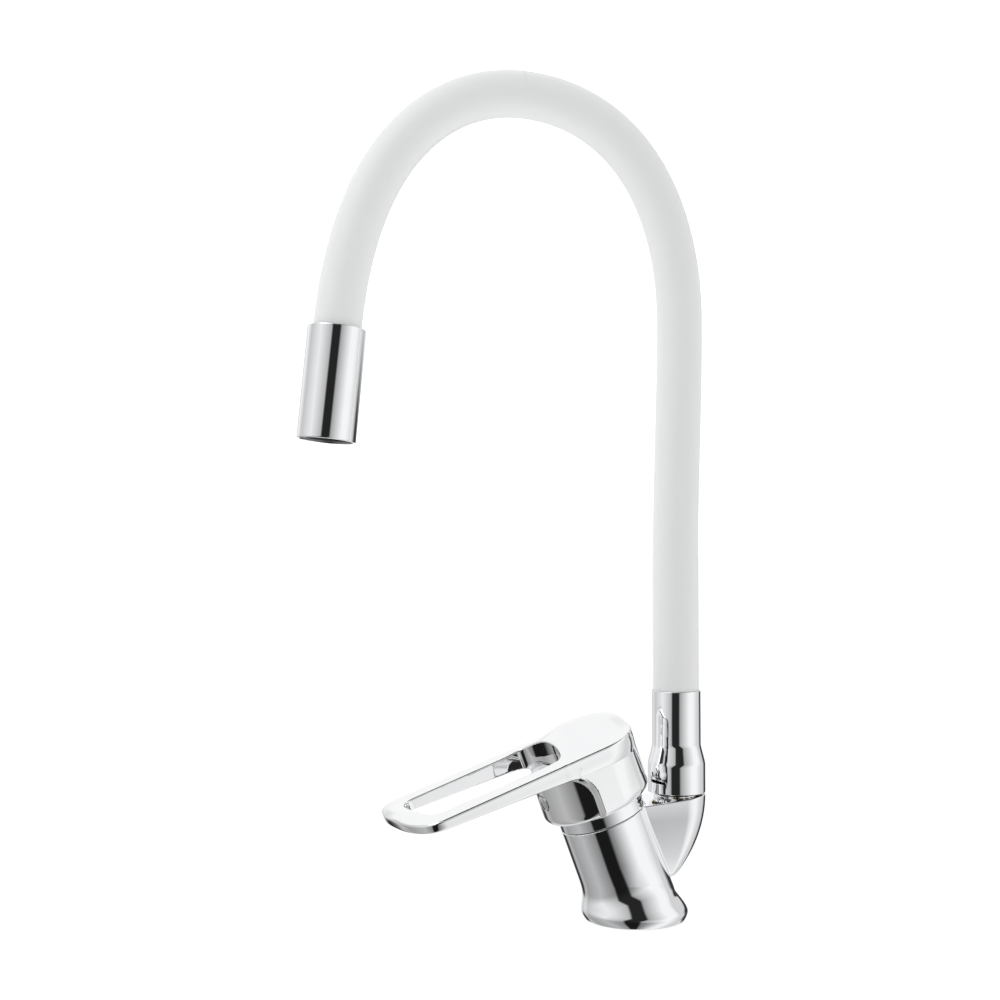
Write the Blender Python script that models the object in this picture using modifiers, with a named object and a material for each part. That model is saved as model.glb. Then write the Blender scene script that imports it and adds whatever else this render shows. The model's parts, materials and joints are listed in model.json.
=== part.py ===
# Flexible kitchen faucet: a leaning single-lever mixer with a shape-holding hose spout.
# The origin is the centre of the foot on the deck, +Z is up and the lever points to -Y.
import math

import bmesh
import bpy
from mathutils import Matrix, Vector

# Fits shared by every piece
RUNNING_GAP = 0.0003
CUT_OVERRUN = 0.001
BALL_OVERRUN = 0.0004
MERGE_DISTANCE = 0.00001
FINE_TURN_STEPS = 32
PLAIN_TURN_STEPS = 20
SMALL_TURN_STEPS = 12
SHARP_ANGLE = math.radians(32)

# Attitude of the mixer and of its closed lever
COLUMN_LEAN = math.radians(20.0)
COLUMN_SETBACK = 0.0018
REST_TURN = math.radians(8.0)

# Foot of the mixer body
FOOT_CONTACT_RADIUS = 0.02595
FOOT_WIDEST_RADIUS = 0.0276
FOOT_WIDEST_HEIGHT = 0.0043
FOOT_HEIGHT = 0.021
FOOT_NECK_RADIUS = 0.0224
FOOT_FORWARD_SWEEP = 0.0046
FOOT_RING_COUNT = 9

# Leaning column, measured along its own axis from the deck
COLUMN_LOWER_RADIUS = 0.0222
COLUMN_UPPER_RADIUS = 0.0227
COLUMN_START = 0.0096
COLUMN_TOP = 0.0565

# Spout boss behind the column, and the upright axis of the spout
RISER_SETBACK = 0.0242
BOSS_RADIUS = 0.0151
BOSS_BOTTOM = 0.0175
BOSS_TOP = 0.0632
BOSS_KEEL_RADIUS_SHARE = 0.2
BOSS_KEEL_DRAW = 0.0055
BOSS_FRONT_HALF_WIDTH = 0.0112
BOSS_FRONT_DEPTH = 0.0033
BOSS_TOP_TILT = math.radians(5.5)
BOSS_RING_COUNT = 8
BOSS_ARC_POINTS = 11
SEAT_RADIUS = 0.0118
SEAT_TOP = 0.0629

# Water ways
CHAMBER_RADIUS = 0.0180
CHAMBER_FLOOR = 0.0330
THREAD_RADIUS = 0.0199
THREAD_START = 0.0475
INLET_SPACING = 0.021
INLET_SETBACK = 0.002
INLET_RADIUS = 0.0045
INLET_DEPTH = 0.013
PASSAGE_RADIUS = 0.0024
CROSS_RADIUS = 0.0021
PORT_SPREAD = 0.0062
PORT_FORWARD = 0.0050
OUTLET_PORT_BACK = 0.0044
OUTLET_DROP = 0.0065
RISER_BORE_RADIUS = 0.0075
RISER_BORE_FLOOR = 0.034
STUD_SETBACK = 0.0140
STUD_RADIUS = 0.0034
STUD_DEPTH = 0.015

# Seal under the foot
GASKET_INNER_RADIUS = 0.0212
GASKET_OUTER_RADIUS = 0.0238
GASKET_HEIGHT = 0.0016

# Mixing cartridge, measured along the column's axis
HOUSING_LOWER_RADIUS = 0.0176
HOUSING_UPPER_RADIUS = 0.0157
DISC_BORE_RADIUS = 0.0157
DISC_BORE_TOP = 0.0513
SWIVEL_BORE_RADIUS = 0.0142
HOUSING_SHOULDER = 0.0525
HOUSING_ROOF = 0.0645
HOUSING_TOP = 0.0665
HOUSING_FLOOR_THICKNESS = 0.0037
SEAL_OUTER_RADIUS = 0.0038
SEAL_INNER_RADIUS = 0.0027
SEAL_HEIGHT = 0.0011
FIXED_DISC_THICKNESS = 0.0040
MOVING_DISC_RADIUS = 0.0112
MOVING_DISC_THICKNESS = 0.0040
MIXING_POCKET_RADIUS = 0.0056
MIXING_POCKET_BACK = 0.0026
MIXING_POCKET_DEPTH = 0.0016
CARRIER_THICKNESS = 0.0052
CARRIER_PEG_RADIUS = 0.0012
CARRIER_PEG_LENGTH = 0.0011
CARRIER_PEG_SPREAD = 0.0082
SWIVEL_BOTTOM = 0.0516
SWIVEL_NECK_RADIUS = 0.0087
SWIVEL_NECK_TOP = 0.0680
SWIVEL_SLOT_LENGTH = 0.0136
SWIVEL_LOWER_SLOT_LENGTH = 0.0176
SWIVEL_LOWER_SLOT_TOP = 0.0572
PIVOT_HEIGHT = 0.0620
PIN_RADIUS = 0.0015
PIN_LENGTH = 0.0250
STEM_WIDTH = 0.0080
STEM_BOTTOM = 0.0540
STEM_TOP = 0.0860
STEM_NECK_RADIUS = 0.0018
STEM_BALL_RADIUS = 0.0024
STEM_BALL_HEIGHT = 0.0500

# Cartridge nut and its trim ring
NUT_BORE_RADIUS = 0.0160
NUT_TOP = 0.0615
NUT_FLAT_DEPTH = 0.0008
NUT_FLAT_HEIGHT = 0.0040
NUT_FLAT_COUNT = 6
TRIM_WALL = 0.0019
TRIM_STRAIGHT_TOP = 0.0640
TRIM_TOP = 0.0688
TRIM_MOUTH_RADIUS = 0.0145

# Lever, measured along the column's axis and outwards from it
SKIRT_RADIUS = 0.0289
SKIRT_RIM_RADIUS = 0.0246
SKIRT_MOUTH_RADIUS = 0.0240
SKIRT_WALL = 0.0034
SKIRT_RIM_MIDDLE = 0.0627
SKIRT_RIM_SLANT = 0.0014
SKIRT_ROUNDING_HEIGHT = 0.0058
SKIRT_STRAIGHT_TOP = 0.0760
SKIRT_BACK_FLATTENING_SHARE = 0.8
CAVITY_SHOULDER = 0.0810
CAVITY_ROOF = 0.0880
CAVITY_ROOF_RADIUS = 0.0190
HUB_RADIUS = 0.0095
HUB_BOTTOM = 0.0725
PADDLE_HALF_WIDTH = 0.0316
PADDLE_BACK = 0.0268
PADDLE_LENGTH = 0.1067
PADDLE_TIP_ROUNDING = 0.0270
PADDLE_CREASE = 0.0971
PADDLE_RISE = math.radians(1.5)
PADDLE_DEPTH_AT_CAP = 0.0100
PADDLE_DEPTH_AT_TIP = 0.0052
PADDLE_CROWN_AT_CAP = 0.0104
PADDLE_CROWN_AT_TIP = 0.0062
PADDLE_SIDE_DRAW = 0.0022
PADDLE_STATION_COUNT = 22
PADDLE_CROSS_POINTS = 11
PADDLE_BACK_SQUARENESS = 2.05
PADDLE_TIP_SQUARENESS = 2.3
CROWN_SQUARENESS = 2.4
CROWN_FALL_RATE_SHARE = 1.6
PADDLE_DEPTH_FALL_SHARE = 0.8
PADDLE_SIDE_BREAK_SHARE = 0.7
PADDLE_LEAST_UNDER_SHARE = 0.3
STATION_START_SHARE = 0.35
STATION_END_SHARE = 0.3
LOOP_BACK_CORNER_SHARE = 0.85
LOOP_FRONT_CORNER_SHARE = 0.75
LOOP_BACK = 0.0175
LOOP_FRONT = 0.0950
LOOP_HALF_WIDTH_BACK = 0.0212
LOOP_HALF_WIDTH_FRONT = 0.0190
LOOP_BACK_ROUNDING = 0.0110
LOOP_FRONT_ROUNDING = 0.0090
LOOP_POCKET_FLOOR = 0.0921
PLUG_RADIUS = 0.0038
PLUG_HEIGHT = 0.0760
PLUG_THICKNESS = 0.0024
PLUG_DOME = 0.0006
SCREW_RADIUS = 0.0024
SCREW_LENGTH = 0.0046
SCREW_SOCKET_RADIUS = 0.0013
SCREW_SOCKET_DEPTH = 0.0022

# Spout swivel and ferrule, measured up from the deck
WASHER_INNER_RADIUS = 0.0086
WASHER_HEIGHT = 0.0017
NIPPLE_RADIUS = 0.0082
NIPPLE_THREAD_RADIUS = 0.0072
NIPPLE_BOTTOM = 0.0480
NIPPLE_TOP = 0.0880
NIPPLE_BORE_RADIUS = 0.0046
SOCKET_RADIUS = 0.0086
GROOVE_RADIUS = 0.0064
GROOVE_WIDTH = 0.0024
LOWER_RING_HEIGHT = 0.0760
UPPER_RING_HEIGHT = 0.0830
RING_SECTION_RADIUS = 0.0008
RING_CENTRE_RADIUS = 0.0075
CLIP_HEIGHT = 0.0690
CLIP_WIDTH = 0.0018
CLIP_OUTER_RADIUS = 0.0098
CLIP_MOUTH_ANGLE = math.radians(50)
INSERT_TOP = 0.0910
INSERT_BARB_TOP = 0.1100
BARB_RADIUS = 0.0040
BARB_BORE_RADIUS = 0.0028
FERRULE_BOTTOM = 0.0637
FERRULE_LOWER_RADIUS = 0.0151
FERRULE_CONE_START = 0.0790
FERRULE_CONE_END = 0.0880
FERRULE_UPPER_RADIUS = 0.0128
FERRULE_TOP = 0.1166
FERRULE_EDGE = 0.0004
FERRULE_WALL = 0.0018

# Flexible spout
HOSE_RADIUS = 0.0120
SLEEVE_WALL = 0.0026
COIL_OUTER_RADIUS = 0.0089
COIL_WALL = 0.0024
INNER_HOSE_RADIUS = 0.0061
INNER_HOSE_WALL = 0.0015
HOSE_START = 0.0915
HOSE_STRAIGHT_TOP = 0.1800
ARCH_START_HEIGHT = 0.3120
ARCH_START_DRIFT = 0.0029
CROWN_FORWARD = 0.0622
CROWN_HEIGHT = 0.4257
ARCH_BACK_HANDLE = 0.0680
ARCH_TOP_BACK_HANDLE = 0.0558
ARCH_TOP_FRONT_HANDLE = 0.0370
ARCH_FRONT_HANDLE = 0.0980
OUTLET_FORWARD = 0.1572
OUTLET_HEIGHT = 0.2998
OUTLET_TILT = math.radians(5.5)
BACK_BEND_AT = 0.2640
FRONT_BEND_AT = 0.5120
BEND_LENGTH = 0.0340
BEND_STEP = 0.0150
STRAIGHT_STEP = 0.0500
END_STEP = 0.0012
BEZIER_SAMPLES = 160
SLEEVE_RESOLUTION = 6
CORE_RESOLUTION = 2

# Outlet head, measured down from its top face
HEAD_RADIUS = 0.01465
HEAD_LENGTH = 0.0560
HEAD_EDGE = 0.0005
HEAD_SOCKET_DEPTH = 0.0120
HEAD_BORE_RADIUS = 0.0132
HEAD_ROOF_DEPTH = 0.0030
FITTING_RADIUS = 0.0129
FITTING_LENGTH = 0.0180
FITTING_BORE_RADIUS = 0.0060
FITTING_BARB_LENGTH = 0.0120
HEAD_SEAL_RADIUS = 0.0110
HEAD_SEAL_HEIGHT = 0.0016
HEAD_SEAL_BORE_RADIUS = 0.0070
AERATOR_WALL = 0.0014
AERATOR_LENGTH = 0.0150
AERATOR_RECESS = 0.0008
AERATOR_LIP = 0.0014
MIXER_RADIUS_CLEARANCE = 0.0003
MIXER_LENGTH = 0.0095
MIXER_HOLE_RADIUS = 0.0011
MIXER_HOLE_CIRCLE = 0.0062
MIXER_HOLE_COUNT = 6
GRILLE_THICKNESS = 0.0016
GRILLE_SLOT_WIDTH = 0.0013
GRILLE_SLOT_PITCH = 0.0030
GRILLE_SLOT_COUNT = 5
GRILLE_SLOT_REACH_SHARE = 0.74


def finish(name, colour, metallic, roughness):
    """Principled material with the colour, metallic value and roughness of one finish."""
    made = bpy.data.materials.new(name)
    made.use_nodes = True
    shader = made.node_tree.nodes["Principled BSDF"]
    shader.inputs["Base Color"].default_value = (*colour, 1.0)
    shader.inputs["Metallic"].default_value = metallic
    shader.inputs["Roughness"].default_value = roughness
    made.diffuse_color = (*colour, 1.0)
    return made


def clear_scene():
    """Remove every object of the open scene."""
    for old in list(bpy.data.objects):
        bpy.data.objects.remove(old, do_unlink=True)


def collection(name):
    """New collection under the scene's own."""
    made = bpy.data.collections.new(name)
    bpy.context.scene.collection.children.link(made)
    return made


clear_scene()
PARTS = collection("flexible_kitchen_faucet")
CUTTERS = collection("cutters")

FINISHES = {
    "chrome": ((0.86, 0.87, 0.88), 1.0, 0.05),
    "brass": ((0.78, 0.60, 0.30), 1.0, 0.28),
    "steel": ((0.66, 0.67, 0.68), 1.0, 0.25),
    "silicone": ((0.86, 0.87, 0.87), 0.0, 0.45),
    "hose_rubber": ((0.55, 0.56, 0.57), 0.0, 0.6),
    "seal_rubber": ((0.03, 0.03, 0.03), 0.0, 0.7),
    "plastic": ((0.80, 0.80, 0.78), 0.0, 0.4),
    "dark_plastic": ((0.10, 0.10, 0.11), 0.0, 0.4),
    "grey_plastic": ((0.45, 0.46, 0.47), 0.0, 0.45),
    "ceramic": ((0.90, 0.88, 0.84), 0.0, 0.2),
}


def empty(name, location, rotation_x=0.0, rotation_z=0.0, parent=None):
    """Frame that pieces are placed in, turned about X and then about Z."""
    made = bpy.data.objects.new(name, None)
    made.location = location
    made.rotation_euler = (rotation_x, 0.0, rotation_z)
    made.parent = parent
    PARTS.objects.link(made)
    return made


LEAN_FRAME = empty("lean_frame", (0.0, COLUMN_SETBACK, 0.0), rotation_x=COLUMN_LEAN)
TURN_FRAME = empty("turn_frame", (0.0, 0.0, 0.0), rotation_z=REST_TURN, parent=LEAN_FRAME)
LIFT_FRAME = empty("lift_frame", (0.0, 0.0, PIVOT_HEIGHT), parent=TURN_FRAME)
RISER_FRAME = empty("riser_frame", (0.0, RISER_SETBACK, 0.0))


def shade(mesh):
    """Smooth shading that keeps the hard edges of machined faces."""
    mesh.shade_smooth()
    mesh.set_sharp_from_angle(angle=SHARP_ANGLE)


def place(name, data, parent, material_name=None):
    """Object in the parts collection, or a cutter where no material is named."""
    made = bpy.data.objects.new(name, data)
    made.parent = parent
    if material_name is None:
        made.hide_render = True
        made.display_type = "WIRE"
        CUTTERS.objects.link(made)
        return made
    data.materials.clear()
    data.materials.append(finish(name + "_" + material_name, *FINISHES[material_name]))
    PARTS.objects.link(made)
    return made


def boolean(target, tool, operation):
    """Exact Boolean of one object with another."""
    modifier = target.modifiers.new(operation.lower(), "BOOLEAN")
    modifier.object = tool
    modifier.operation = operation
    modifier.solver = "EXACT"


def cut(target, tool):
    boolean(target, tool, "DIFFERENCE")


def join(target, tool):
    boolean(target, tool, "UNION")


def turned(name, outline, parent, material_name=None, steps=FINE_TURN_STEPS, closed=False):
    """Turned piece: an outline of (radius, height), outer side from top to bottom, about Z."""
    mesh = bpy.data.meshes.new(name)
    points = [(radius, 0.0, height) for radius, height in outline]
    edges = [(index, index + 1) for index in range(len(points) - 1)]
    if closed:
        edges.append((len(points) - 1, 0))
    mesh.from_pydata(points, edges, [])
    made = place(name, mesh, parent, material_name)
    screw = made.modifiers.new("turn", "SCREW")
    screw.axis = "Z"
    screw.steps = steps
    screw.render_steps = steps
    screw.use_merge_vertices = True
    screw.merge_threshold = MERGE_DISTANCE
    screw.use_smooth_shade = True
    return made


def ring(name, inner_radius, outer_radius, bottom, top, parent, material_name=None, steps=PLAIN_TURN_STEPS):
    """Plain turned ring between two heights."""
    outline = [(inner_radius, top), (outer_radius, top), (outer_radius, bottom), (inner_radius, bottom)]
    return turned(name, outline, parent, material_name, steps, closed=True)


def disc(name, radius, bottom, top, parent, material_name=None, steps=PLAIN_TURN_STEPS, top_radius=None):
    """Upright cylinder between two heights, or a cone where its top has a radius of its own."""
    mesh = bpy.data.meshes.new(name)
    shape = bmesh.new()
    bmesh.ops.create_cone(shape, cap_ends=True, segments=steps, radius1=radius, radius2=top_radius or radius,
                          depth=top - bottom)
    bmesh.ops.translate(shape, verts=shape.verts, vec=(0.0, 0.0, (top + bottom) / 2))
    shape.to_mesh(mesh)
    shape.free()
    shade(mesh)
    return place(name, mesh, parent, material_name)


def arc(centre_radius, centre_height, radius_out, radius_up, start_degrees, end_degrees, count):
    """Points of an elliptical arc on a turned outline; 0 degrees points outwards, 90 up."""
    points = []
    for index in range(count):
        angle = math.radians(start_degrees + (end_degrees - start_degrees) * index / (count - 1))
        points.append((centre_radius + radius_out * math.cos(angle), centre_height + radius_up * math.sin(angle)))
    return points


def rod(name, start, end, radius, parent, material_name=None, segments=SMALL_TURN_STEPS):
    """Straight cylinder between two points."""
    first = Vector(start)
    along = Vector(end) - first
    mesh = bpy.data.meshes.new(name)
    shape = bmesh.new()
    bmesh.ops.create_cone(shape, cap_ends=True, segments=segments, radius1=radius, radius2=radius,
                          depth=along.length)
    turn = along.to_track_quat("Z", "Y").to_matrix().to_4x4()
    bmesh.ops.transform(shape, matrix=Matrix.Translation(first + along / 2) @ turn, verts=shape.verts)
    shape.to_mesh(mesh)
    shape.free()
    shade(mesh)
    return place(name, mesh, parent, material_name)


def block(name, size, centre, parent, material_name=None):
    """Rectangular block."""
    mesh = bpy.data.meshes.new(name)
    shape = bmesh.new()
    bmesh.ops.create_cube(shape, size=1.0)
    bmesh.ops.transform(shape, matrix=Matrix.Translation(centre) @ Matrix.Diagonal((*size, 1.0)),
                        verts=shape.verts)
    shape.to_mesh(mesh)
    shape.free()
    return place(name, mesh, parent, material_name)


def ball(name, radius, centre, parent, material_name=None):
    """Sphere."""
    mesh = bpy.data.meshes.new(name)
    shape = bmesh.new()
    bmesh.ops.create_uvsphere(shape, u_segments=SMALL_TURN_STEPS, v_segments=SMALL_TURN_STEPS // 2, radius=radius)
    bmesh.ops.transform(shape, matrix=Matrix.Translation(centre), verts=shape.verts)
    shape.to_mesh(mesh)
    shape.free()
    shade(mesh)
    return place(name, mesh, parent, material_name)


def loft(name, rings, parent, material_name=None):
    """Closed solid through rings of equally many points, with flat ends."""
    count = len(rings[0])
    points = [point for row in rings for point in row]
    faces = []
    for row in range(len(rings) - 1):
        for index in range(count):
            following = (index + 1) % count
            lower, upper = row * count, (row + 1) * count
            faces.append((lower + index, lower + following, upper + following, upper + index))
    faces.append(tuple(reversed(range(count))))
    faces.append(tuple(range((len(rings) - 1) * count, len(rings) * count)))
    mesh = bpy.data.meshes.new(name)
    mesh.from_pydata(points, [], faces)
    shape = bmesh.new()
    shape.from_mesh(mesh)
    bmesh.ops.recalc_face_normals(shape, faces=shape.faces)
    shape.to_mesh(mesh)
    shape.free()
    shade(mesh)
    return place(name, mesh, parent, material_name)


def plate(name, outline, bottom, top, parent, material_name=None):
    """Flat outline in X and Y as a filled 2D curve, extruded between two heights, as a mesh."""
    curve = bpy.data.curves.new(name, "CURVE")
    curve.dimensions = "2D"
    curve.fill_mode = "BOTH"
    curve.extrude = (top - bottom) / 2
    spline = curve.splines.new("POLY")
    spline.points.add(len(outline) - 1)
    for point, (across, along) in zip(spline.points, outline):
        point.co = (across, along, 0.0, 1.0)
    spline.use_cyclic_u = True
    guide = bpy.data.objects.new(name + "_curve", curve)
    CUTTERS.objects.link(guide)
    bpy.context.view_layer.update()
    evaluated = guide.evaluated_get(bpy.context.evaluated_depsgraph_get())
    mesh = bpy.data.meshes.new_from_object(evaluated)
    bpy.data.objects.remove(guide, do_unlink=True)
    shape = bmesh.new()
    shape.from_mesh(mesh)
    bmesh.ops.remove_doubles(shape, verts=shape.verts, dist=MERGE_DISTANCE)
    bmesh.ops.translate(shape, verts=shape.verts, vec=(0.0, 0.0, (top + bottom) / 2))
    bmesh.ops.recalc_face_normals(shape, faces=shape.faces)
    shape.to_mesh(mesh)
    shape.free()
    return place(name, mesh, parent, material_name)


def smoothstep(value):
    """Share that rises smoothly from 0 to 1 while the value does."""
    held = min(max(value, 0.0), 1.0)
    return held * held * (3.0 - 2.0 * held)


def lean_to_world(across, back, height):
    """World place of a point in the column's own frame."""
    turn = Matrix.Rotation(COLUMN_LEAN, 3, "X")
    return Vector((0.0, COLUMN_SETBACK, 0.0)) + turn @ Vector((across, back, height))


# Mixer body
def foot_rings():
    """Rings of the foot: a bell that swells, then draws in and sweeps forward under the column."""
    rings = []
    for index in range(FOOT_RING_COUNT):
        share = index / (FOOT_RING_COUNT - 1)
        height = FOOT_HEIGHT * share ** 1.35
        if height < FOOT_WIDEST_HEIGHT:
            part = height / FOOT_WIDEST_HEIGHT
            radius = FOOT_CONTACT_RADIUS + (FOOT_WIDEST_RADIUS - FOOT_CONTACT_RADIUS) * math.sin(part * math.pi / 2)
            sweep = 0.0
        else:
            part = (height - FOOT_WIDEST_HEIGHT) / (FOOT_HEIGHT - FOOT_WIDEST_HEIGHT)
            radius = FOOT_WIDEST_RADIUS - (FOOT_WIDEST_RADIUS - FOOT_NECK_RADIUS) * smoothstep(part ** 0.85)
            sweep = FOOT_FORWARD_SWEEP * part ** 1.2
        row = []
        for step in range(FINE_TURN_STEPS):
            angle = 2 * math.pi * step / FINE_TURN_STEPS
            row.append((radius * math.cos(angle), radius * math.sin(angle) - sweep, height))
        rings.append(row)
    return rings


def boss_ring(share):
    """Section of the spout boss: two sides that spread from the column to a round back."""
    fullness = BOSS_KEEL_RADIUS_SHARE + (1.0 - BOSS_KEEL_RADIUS_SHARE) * math.sin(share * math.pi / 2) ** 0.78
    radius = BOSS_RADIUS * fullness
    height = BOSS_BOTTOM + (BOSS_TOP - BOSS_BOTTOM) * share
    centre = RISER_SETBACK - BOSS_KEEL_DRAW * (1.0 - share) ** 2.2
    column_back = (COLUMN_UPPER_RADIUS - BOSS_FRONT_DEPTH) / math.cos(COLUMN_LEAN)
    front = COLUMN_SETBACK + column_back - height * math.tan(COLUMN_LEAN)
    half_width = min(BOSS_FRONT_HALF_WIDTH, radius * 0.93)
    spread = math.atan2(radius - half_width, centre - front)
    row = [(half_width, front)]
    for index in range(BOSS_ARC_POINTS):
        angle = -spread + (math.pi + 2 * spread) * index / (BOSS_ARC_POINTS - 1)
        row.append((radius * math.cos(angle), centre + radius * math.sin(angle)))
    row.append((-half_width, front))
    back = RISER_SETBACK + BOSS_RADIUS
    fall = math.tan(BOSS_TOP_TILT) * smoothstep(share)
    return [(across, along, height + (along - back) * fall) for across, along in row]


def make_mixer_body():
    """Cast brass body: foot, leaning column, spout boss, cartridge chamber and water ways."""
    body = loft("mixer_body", foot_rings(), None, "chrome")
    column = disc("column_form", COLUMN_LOWER_RADIUS, COLUMN_START, COLUMN_TOP, LEAN_FRAME,
                  steps=FINE_TURN_STEPS, top_radius=COLUMN_UPPER_RADIUS)
    column.rotation_euler = (0.0, 0.0, math.pi / FINE_TURN_STEPS)
    join(body, column)
    rings = [boss_ring(index / (BOSS_RING_COUNT - 1)) for index in range(BOSS_RING_COUNT)]
    join(body, loft("boss_form", rings, None))
    seat_base = (BOSS_TOP + RISER_BORE_FLOOR) / 2
    join(body, disc("seat_form", SEAT_RADIUS, seat_base, SEAT_TOP, RISER_FRAME))
    above = COLUMN_TOP + CUT_OVERRUN
    chamber = [(0.0, above), (THREAD_RADIUS, above), (THREAD_RADIUS, THREAD_START),
               (CHAMBER_RADIUS, THREAD_START), (CHAMBER_RADIUS, CHAMBER_FLOOR), (0.0, CHAMBER_FLOOR)]
    cut(body, turned("chamber_cut", chamber, LEAN_FRAME))
    cut(body, disc("riser_bore_cut", RISER_BORE_RADIUS, RISER_BORE_FLOOR, SEAT_TOP + CUT_OVERRUN, RISER_FRAME,
                   steps=SMALL_TURN_STEPS))
    for side, label in ((-1, "left"), (1, "right")):
        across = side * INLET_SPACING / 2
        base = (across, INLET_SETBACK, -CUT_OVERRUN)
        top = (across, INLET_SETBACK, INLET_DEPTH)
        cut(body, rod("inlet_cut_" + label, base, top, INLET_RADIUS, None))
        start = (across, INLET_SETBACK, INLET_DEPTH - PASSAGE_RADIUS)
        port = lean_to_world(side * PORT_SPREAD, -PORT_FORWARD, CHAMBER_FLOOR + CUT_OVERRUN)
        cut(body, rod("passage_cut_" + label, start, port, PASSAGE_RADIUS, None))
    drop_top = lean_to_world(0.0, OUTLET_PORT_BACK, CHAMBER_FLOOR + CUT_OVERRUN)
    drop_end = lean_to_world(0.0, OUTLET_PORT_BACK, CHAMBER_FLOOR - OUTLET_DROP)
    cut(body, rod("outlet_drop_cut", drop_end, drop_top, PASSAGE_RADIUS, None))
    turn_point = lean_to_world(0.0, OUTLET_PORT_BACK, CHAMBER_FLOOR - OUTLET_DROP + CROSS_RADIUS)
    cross_end = Vector((0.0, RISER_SETBACK, RISER_BORE_FLOOR + CROSS_RADIUS))
    cut(body, rod("outlet_cross_cut", turn_point, cross_end, CROSS_RADIUS, None))
    cut(body, rod("stud_cut", (0.0, STUD_SETBACK, -CUT_OVERRUN), (0.0, STUD_SETBACK, STUD_DEPTH), STUD_RADIUS, None))
    groove_top = GASKET_HEIGHT + RUNNING_GAP
    cut(body, ring("gasket_groove_cut", GASKET_INNER_RADIUS - RUNNING_GAP, GASKET_OUTER_RADIUS + RUNNING_GAP,
                   -CUT_OVERRUN, groove_top, None, steps=FINE_TURN_STEPS))


def make_base_gasket():
    """Rubber ring in the groove under the foot."""
    ring("base_gasket", GASKET_INNER_RADIUS, GASKET_OUTER_RADIUS, 0.0, GASKET_HEIGHT, None, "seal_rubber",
         steps=FINE_TURN_STEPS)


# Mixing cartridge
def port_places():
    """Names and places of the cartridge's three ports, across and back from its axis."""
    return (("left", -PORT_SPREAD, -PORT_FORWARD), ("right", PORT_SPREAD, -PORT_FORWARD),
            ("outlet", 0.0, OUTLET_PORT_BACK))


def make_port_seals():
    """One rubber seal round each port, between the housing and the chamber floor."""
    bottom = CHAMBER_FLOOR + RUNNING_GAP
    for label, across, back in port_places():
        seal = ring("port_seal_" + label, SEAL_INNER_RADIUS, SEAL_OUTER_RADIUS, bottom, bottom + SEAL_HEIGHT,
                    LEAN_FRAME, "seal_rubber", steps=SMALL_TURN_STEPS)
        seal.location = (across, back, 0.0)


def make_cartridge_housing():
    """Moulded housing that stands on the chamber floor and holds the discs."""
    bottom = CHAMBER_FLOOR + RUNNING_GAP
    floor = bottom + HOUSING_FLOOR_THICKNESS
    mouth = SWIVEL_NECK_RADIUS + RUNNING_GAP
    outline = [(0.0, floor), (DISC_BORE_RADIUS, floor), (DISC_BORE_RADIUS, DISC_BORE_TOP),
               (SWIVEL_BORE_RADIUS, DISC_BORE_TOP), (SWIVEL_BORE_RADIUS, HOUSING_ROOF),
               (mouth, HOUSING_ROOF), (mouth, HOUSING_TOP), (HOUSING_UPPER_RADIUS, HOUSING_TOP),
               (HOUSING_UPPER_RADIUS, HOUSING_SHOULDER), (HOUSING_LOWER_RADIUS, HOUSING_SHOULDER),
               (HOUSING_LOWER_RADIUS, bottom), (0.0, bottom)]
    housing = turned("cartridge_housing", outline, LEAN_FRAME, "plastic", PLAIN_TURN_STEPS)
    for label, across, back in port_places():
        hole = disc("housing_port_cut_" + label, PASSAGE_RADIUS, bottom - CUT_OVERRUN, floor + CUT_OVERRUN,
                    LEAN_FRAME, steps=SMALL_TURN_STEPS)
        hole.location = (across, back, 0.0)
        cut(housing, hole)
        pocket = disc("housing_pocket_cut_" + label, SEAL_OUTER_RADIUS + RUNNING_GAP, bottom - CUT_OVERRUN,
                      bottom + SEAL_HEIGHT + RUNNING_GAP, LEAN_FRAME, steps=SMALL_TURN_STEPS)
        pocket.location = (across, back, 0.0)
        cut(housing, pocket)


def fixed_disc_bottom():
    return CHAMBER_FLOOR + RUNNING_GAP + HOUSING_FLOOR_THICKNESS + RUNNING_GAP


def moving_disc_bottom():
    return fixed_disc_bottom() + FIXED_DISC_THICKNESS + RUNNING_GAP


def carrier_bottom():
    return moving_disc_bottom() + MOVING_DISC_THICKNESS + RUNNING_GAP


def make_fixed_disc():
    """Lower ceramic disc with the three ports."""
    bottom = fixed_disc_bottom()
    top = bottom + FIXED_DISC_THICKNESS
    fixed = disc("fixed_ceramic_disc", DISC_BORE_RADIUS - RUNNING_GAP, bottom, top, LEAN_FRAME, "ceramic")
    for label, across, back in port_places():
        hole = disc("disc_port_cut_" + label, PASSAGE_RADIUS, bottom - CUT_OVERRUN, top + CUT_OVERRUN, LEAN_FRAME,
                    steps=SMALL_TURN_STEPS)
        hole.location = (across, back, 0.0)
        cut(fixed, hole)


def make_moving_disc():
    """Upper ceramic disc with the mixing pocket below and two peg holes above."""
    bottom = moving_disc_bottom()
    top = bottom + MOVING_DISC_THICKNESS
    moving = disc("moving_ceramic_disc", MOVING_DISC_RADIUS, bottom, top, TURN_FRAME, "ceramic")
    pocket = disc("mixing_pocket_cut", MIXING_POCKET_RADIUS, bottom - CUT_OVERRUN, bottom + MIXING_POCKET_DEPTH,
                  TURN_FRAME)
    pocket.location = (0.0, MIXING_POCKET_BACK, 0.0)
    cut(moving, pocket)
    hole_bottom = top - CARRIER_PEG_LENGTH - RUNNING_GAP
    for side, label in ((-1, "left"), (1, "right")):
        hole = disc("peg_hole_cut_" + label, CARRIER_PEG_RADIUS + RUNNING_GAP, hole_bottom, top + CUT_OVERRUN,
                    TURN_FRAME, steps=SMALL_TURN_STEPS)
        hole.location = (side * CARRIER_PEG_SPREAD, 0.0, 0.0)
        cut(moving, hole)


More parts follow.
